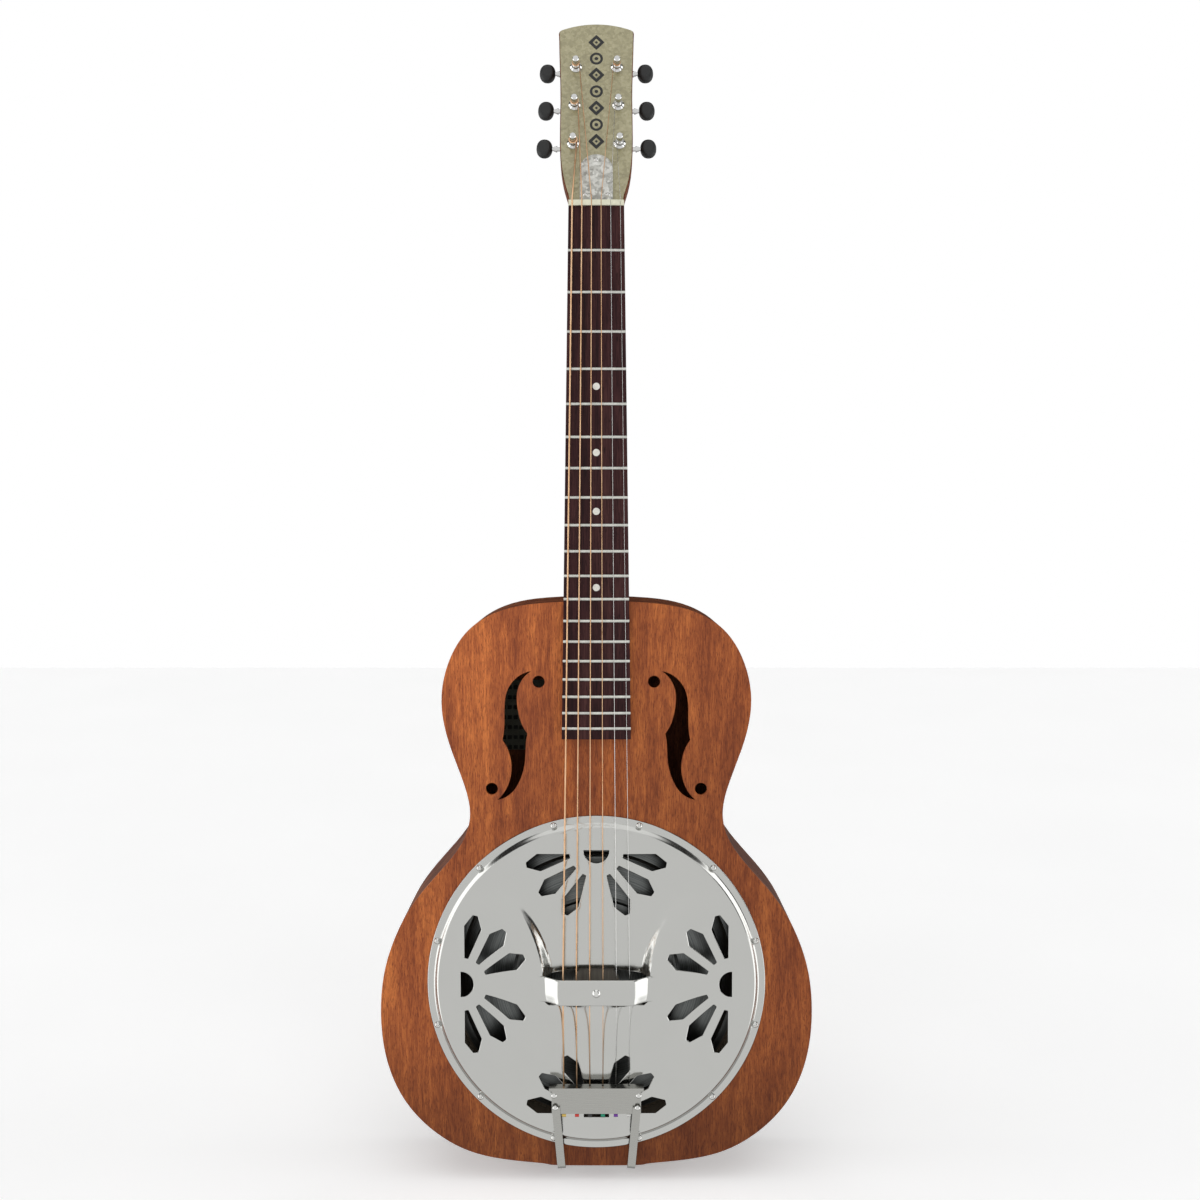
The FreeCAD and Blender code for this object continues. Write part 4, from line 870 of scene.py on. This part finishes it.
def spun_aluminium():
    """Spun sheet with fine rings about the cone's axis, coloured far darker than bare aluminium as painted
    shade for the dim inside of the body.
    """
    tree = Tree("spun_aluminium")
    place = tree.add("ShaderNodeSeparateXYZ", {"Vector": tree.place})
    up = tree.math("POWER", tree.math("ABSOLUTE", tree.math("SUBTRACT", place.outputs["Z"], COVER_Z)), 2.0)
    across = tree.math("POWER", tree.math("ABSOLUTE", place.outputs["X"]), 2.0)
    radius = tree.math("SQRT", tree.sum(across, up))
    along = tree.add("ShaderNodeCombineXYZ", {"X": tree.product(radius, 1800.0)}).outputs["Vector"]
    rings = tree.noise(along, 3.0, 0.7)
    # These colours are far darker than bare aluminium: painted shade for the dim inside of the body.
    colour = tree.ramp(rings, [(0.40, (0.052, 0.057, 0.055)), (0.62, (0.24, 0.25, 0.245))])
    rough = tree.between(rings, 0.3, 0.7, 0.26, 0.42)
    normal = tree.bump(rings, 0.00003, 0.5)
    return tree.finish(Base_Color=colour, Metallic=1.0, Roughness=rough, Normal=normal)


def pearloid(name, dark, middle, pale, contrast):
    """Swirled flakes of pearl plastic under a gloss surface."""
    tree = Tree(name)
    drift = tree.noise(tree.stretched(190, 190, 190), 4.0, 0.68, 1.0)
    swirl = tree.add("ShaderNodeTexNoise", {"Vector": tree.place, "Scale": 260.0, "Detail": 2.0})
    shift = tree.add("ShaderNodeVectorMath", operation="SCALE")
    tree.put(shift.inputs[0], swirl.outputs["Color"])
    tree.put(shift.inputs["Scale"], 0.004)
    moved = tree.add("ShaderNodeVectorMath", operation="ADD")
    tree.put(moved.inputs[0], tree.place)
    tree.put(moved.inputs[1], shift.outputs[0])
    flakes = tree.add("ShaderNodeTexVoronoi", {"Vector": moved.outputs[0], "Scale": 420.0, "Smoothness": 0.6},
                      feature="SMOOTH_F1")
    cell = tree.add("ShaderNodeSeparateColor", {"Color": flakes.outputs["Color"]}).outputs[0]
    blend = tree.sum(tree.product(drift, 1 - contrast), tree.product(cell, contrast))
    colour = tree.ramp(blend, [(0.25, dark), (0.50, middle), (0.75, pale)])
    rough = tree.between(cell, 0.2, 0.8, 0.22, 0.34)
    return tree.finish(Base_Color=colour, Roughness=rough, Coat_Weight=0.5, Coat_Roughness=0.08,
                       Normal=tree.bump(cell, 0.00002, 0.2))


def moulded(name, colour, roughness, grain):
    """Moulded plastic or bone with a fine grained surface."""
    tree = Tree(name)
    clouds = tree.noise(tree.stretched(250, 250, 250), 3.0, 0.6)
    pits = tree.noise(tree.stretched(2600, 2600, 2600), 2.0, 0.6)
    darker = tuple(channel * 0.82 for channel in colour)
    base = tree.ramp(clouds, [(0.3, darker), (0.7, colour)])
    rough = tree.between(pits, 0.3, 0.7, roughness, roughness + 0.1)
    return tree.finish(Base_Color=base, Roughness=rough, Normal=tree.bump(pits, grain, 0.6))


def turned_metal(name, colour, roughness):
    """Machined metal with fine tool marks."""
    tree = Tree(name)
    marks = tree.noise(tree.stretched(2200, 2200, 2200), 3.0, 0.6)
    clouds = tree.noise(tree.stretched(180, 180, 180), 3.0, 0.6)
    darker = tuple(channel * 0.75 for channel in colour)
    base = tree.ramp(clouds, [(0.3, darker), (0.7, colour)])
    rough = tree.between(marks, 0.3, 0.7, roughness, roughness + 0.14)
    return tree.finish(Base_Color=base, Metallic=1.0, Roughness=rough, Normal=tree.bump(marks, 0.00001, 0.4))


def winding():
    """Bronze wire wound close round a string's core."""
    tree = Tree("wound_bronze")
    turns = tree.add("ShaderNodeTexWave", {"Vector": tree.place, "Scale": 620.0, "Distortion": 0.0},
                     wave_type="BANDS", bands_direction="Z", wave_profile="SIN").outputs["Fac"]
    tarnish = tree.noise(tree.stretched(60, 60, 60), 3.0, 0.6)
    base = tree.ramp(tarnish, [(0.3, (0.62, 0.36, 0.19)), (0.7, (0.86, 0.58, 0.36))])
    rough = tree.between(tarnish, 0.3, 0.7, 0.26, 0.38)
    return tree.finish(Base_Color=base, Metallic=1.0, Roughness=rough, Normal=tree.bump(turns, 0.00008, 0.6))


def coloured_ball_ends():
    """Plated barrels in a different colour for each string, picked by their place."""
    tree = Tree("ball_ends")
    x = tree.add("ShaderNodeSeparateXYZ", {"Vector": tree.place}).outputs["X"]
    half = TAIL_SPREAD * 1.2 * MM
    share = tree.share(x, -half, half)
    shades = [(0.62, 0.44, 0.12), (0.55, 0.06, 0.05), (0.05, 0.05, 0.05),
              (0.03, 0.26, 0.16), (0.16, 0.05, 0.30), (0.62, 0.62, 0.60)]
    stops = [(number / 6, shade) for number, shade in enumerate(shades)]
    colour = tree.ramp(share, stops, "CONSTANT")
    marks = tree.noise(tree.stretched(2200, 2200, 2200), 3.0, 0.6)
    rough = tree.between(marks, 0.3, 0.7, 0.25, 0.40)
    return tree.finish(Base_Color=colour, Metallic=0.85, Roughness=rough)


def printed_label():
    """Dark printed paper with plain bars in place of words."""
    tree = Tree("paper_label")
    low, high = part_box("maker_label")
    place = tree.add("ShaderNodeSeparateXYZ", {"Vector": tree.place})
    across = tree.share(place.outputs["X"], low.x, high.x)
    up = tree.share(place.outputs["Z"], low.z, high.z)
    rows = tree.between(tree.math("SINE", tree.product(up, 44.0)), 0.25, 0.45)
    gaps = tree.between(tree.math("SINE", tree.product(across, 70.0)), -0.7, -0.5)
    margins = tree.product(tree.between(across, 0.10, 0.11), tree.between(across, 0.90, 0.89))
    mask = tree.product(rows, gaps, margins)
    fibres = tree.noise(tree.stretched(900, 900, 900), 3.0, 0.6)
    paper = tree.ramp(fibres, [(0.3, (0.115, 0.118, 0.088)), (0.7, (0.165, 0.168, 0.125))])
    colour = tree.mix(mask, paper, (0.018, 0.018, 0.015))
    return tree.finish(Base_Color=colour, Roughness=0.8, Normal=tree.bump(fibres, 0.00002, 0.4))


# ---- studio -------------------------------------------------------------------

FLOOR_HALF = 4.0
FLOOR_GAP = 0.0005
FLOOR_GLOW = 0.33
FRONT_GLOW = 1.0
SIDE_GLOW = 2.3
TOP_GLOW = 1.25
LOW_GLOW = 0.85
BACK_GLOW = 1.0
DARK_GLOW = 0.03

CAMERA_X = 0.003
CAMERA_AWAY = 1.100
CAMERA_HEIGHT = 0.537
CAMERA_TILT = math.radians(3.23)
CAMERA_LENS = 40.4
CAMERA_SENSOR = 36.0


def studio_floor():
    """A plain pale floor just under the strap button, lit a little from below like a light table."""
    mesh = bpy.data.meshes.new("floor")
    corners = [(FLOOR_HALF * x, FLOOR_HALF * y, 0) for x, y in ((-1, -1), (1, -1), (1, 1), (-1, 1))]
    mesh.from_pydata(corners, [], [(0, 1, 2, 3)])
    obj = bpy.data.objects.new("floor", mesh)
    obj.location.z = FLOOR_Z - FLOOR_GAP
    obj.visible_glossy = False
    bpy.context.scene.collection.objects.link(obj)
    tree = Tree("floor_paint")
    clouds = tree.noise(tree.stretched(3, 3, 3), 3.0, 0.6)
    colour = tree.ramp(clouds, [(0.3, (0.90, 0.90, 0.90)), (0.7, (0.93, 0.93, 0.93))])
    white = (1.0, 1.0, 1.0, 1.0)
    paint = tree.finish(Base_Color=colour, Roughness=0.9, Emission_Color=white, Emission_Strength=FLOOR_GLOW)
    mesh.materials.append(paint)


class Sky(Nodes):
    """The world's node tree."""

    def __init__(self):
        world = bpy.data.worlds.new("studio")
        bpy.context.scene.world = world
        super().__init__(world)

    def largest(self, *values):
        """The largest of several values."""
        result = values[0]
        for value in values[1:]:
            result = self.math("MAXIMUM", result, value)
        return result

    def without(self, value):
        """What a value leaves of one."""
        return self.math("SUBTRACT", 1.0, value)


def studio_light():
    """Soft white light, by direction: an even front, bright side boxes, a top, a foot and a back light.

    One panel is cut out of each side box: on the left the front light fills it, on the right it is dark.
    """
    sky = Sky()
    split = sky.add("ShaderNodeSeparateXYZ", {"Vector": sky.add("ShaderNodeTexCoord").outputs["Generated"]})
    x, y, z = split.outputs
    wide = sky.math("ABSOLUTE", x)

    gap = sky.product(sky.between(z, 0.56, 0.62), sky.between(wide, 0.42, 0.50))
    front = sky.product(sky.between(y, -0.10, -0.20), sky.without(gap), FRONT_GLOW)

    reach_level = sky.math("MULTIPLY_ADD", sky.math("SIGN", x), -0.11, 0.03)
    far_back = sky.between(sky.math("SUBTRACT", z, reach_level), 0.03, -0.03)
    reach = sky.product(wide, sky.math("MULTIPLY_ADD", far_back, 0.33, 0.12))
    ahead = sky.between(sky.math("SUBTRACT", y, reach), 0.03, -0.03)
    panel_y = sky.product(sky.between(y, -0.74, -0.68), sky.between(y, -0.22, -0.27))
    panel = sky.product(panel_y, sky.between(z, -0.06, -0.01), sky.between(z, 0.46, 0.40))
    side_z = sky.product(sky.between(z, 0.60, 0.54), sky.between(z, -0.72, -0.42))
    side = sky.product(sky.between(wide, 0.72, 0.80), side_z, ahead, sky.without(panel), SIDE_GLOW)

    fading = sky.math("MULTIPLY_ADD", sky.between(z, -0.60, -0.95), -0.35, LOW_GLOW)
    low = sky.product(sky.between(z, -0.35, -0.55), fading)
    top = sky.product(sky.between(z, 0.80, 0.86), sky.between(y, 0.3, 0.1), TOP_GLOW)
    back_wide = sky.between(wide, 0.30, 0.42)
    back = sky.product(sky.between(y, 0.50, 0.62), back_wide, sky.between(z, -0.40, -0.20), BACK_GLOW)

    dark = sky.product(panel, sky.between(x, 0.0, 0.1))
    glow = sky.product(sky.largest(front, side, low, top, back), sky.without(dark))
    glow = sky.sum(glow, DARK_GLOW)

    seen = sky.add("ShaderNodeLightPath").outputs["Is Camera Ray"]
    background = sky.nodes["Background"]
    background.inputs["Color"].default_value = (1.0, 1.0, 1.0, 1.0)
    lit = sky.product(glow, sky.without(seen))
    sky.put(background.inputs["Strength"], sky.sum(seen, lit))


def camera():
    """The camera at the photograph's angle, a little above the middle, looking slightly down."""
    data = bpy.data.cameras.new("camera")
    data.sensor_width = CAMERA_SENSOR
    data.lens = CAMERA_LENS
    obj = bpy.data.objects.new("camera", data)
    obj.location = (CAMERA_X, FRONT - CAMERA_AWAY, CAMERA_HEIGHT)
    obj.rotation_euler = (math.pi / 2 - CAMERA_TILT, 0, 0)
    bpy.context.scene.collection.objects.link(obj)
    bpy.context.scene.camera = obj


# ---- putting it together ------------------------------------------------------

def all_materials():
    """Every finish by the record's material slot."""
    return {
        "mahogany_top": mahogany("mahogany_top", (0.58, 0.178, 0.049), (0.355, 0.097, 0.031),
                                 (0.19, 0.047, 0.020), (0.115, 0.029, 0.015), 0.12),
        # The sides and back use a darker copy of the top's mahogany: painted shade for faces turned away from
        # the front light.
        "mahogany_body": mahogany("mahogany_body", (0.30, 0.105, 0.045), (0.17, 0.055, 0.027),
                                  (0.085, 0.028, 0.017), (0.045, 0.016, 0.012), 0.02),
        "lining_wood": raw_wood("lining_wood", (0.16, 0.125, 0.085), (0.09, 0.07, 0.05)),
        "paper_label": printed_label(),
        "spun_aluminium": spun_aluminium(),
        "maple": raw_wood("maple", (0.17, 0.155, 0.13), (0.10, 0.09, 0.075)),
        "steel_hardware": polished_plate("steel_hardware", (0.60, 0.60, 0.58), 0.12, 0.10),
        "chrome_plate": polished_plate("chrome_plate", (0.480, 0.482, 0.462), 0.14, 0.05),
        "satin_nickel": satin_plate("satin_nickel", (0.375, 0.373, 0.350)),
        "rosewood": rosewood(),
        "fret_wire": turned_metal("fret_wire", (0.66, 0.66, 0.61), 0.2),
        "dot_pearl": moulded("dot_pearl", (0.82, 0.81, 0.74), 0.25, 0.000004),
        "nut_bone": moulded("nut_bone", (0.76, 0.75, 0.58), 0.38, 0.000006),
        "pearl_green": pearloid("pearl_green", (0.24, 0.215, 0.118), (0.335, 0.305, 0.172),
                                (0.42, 0.385, 0.235), 0.30),
        "pearl_white": pearloid("pearl_white", (0.26, 0.26, 0.23), (0.50, 0.50, 0.46),
                                (0.72, 0.72, 0.68), 0.5),
        "brass_nut": turned_metal("brass_nut", (0.76, 0.56, 0.25), 0.22),
        "tuner_chrome": polished_plate("tuner_chrome", (0.58, 0.58, 0.57), 0.06, 0.08),
        "black_button": moulded("black_button", (0.009, 0.010, 0.010), 0.46, 0.00002),
        "gear_brass": turned_metal("gear_brass", (0.74, 0.54, 0.24), 0.25),
        "ball_ends": coloured_ball_ends(),
        "wound_bronze": winding(),
        "plain_steel": turned_metal("plain_steel", (0.75, 0.75, 0.73), 0.18),
    }


def finish_cad_nodes(materials):
    """Give every CAD node the detailed material of its slot."""
    slots = {row["node"]: row["material_slot"] for row in frame["record"]["subparts"]}
    for name, obj in frame["nodes"].items():
        material = materials[slots[name]]
        obj.data.materials.clear()
        obj.data.materials.append(material)


def build():
    """The whole scene."""
    bpy.context.scene.view_settings.view_transform = "Standard"
    materials = all_materials()
    finish_cad_nodes(materials)
    coverplate(materials["chrome_plate"])
    strings(materials["wound_bronze"], materials["plain_steel"])
    headstock_ornament(materials["black_button"])
    studio_floor()
    studio_light()
    camera()


build()
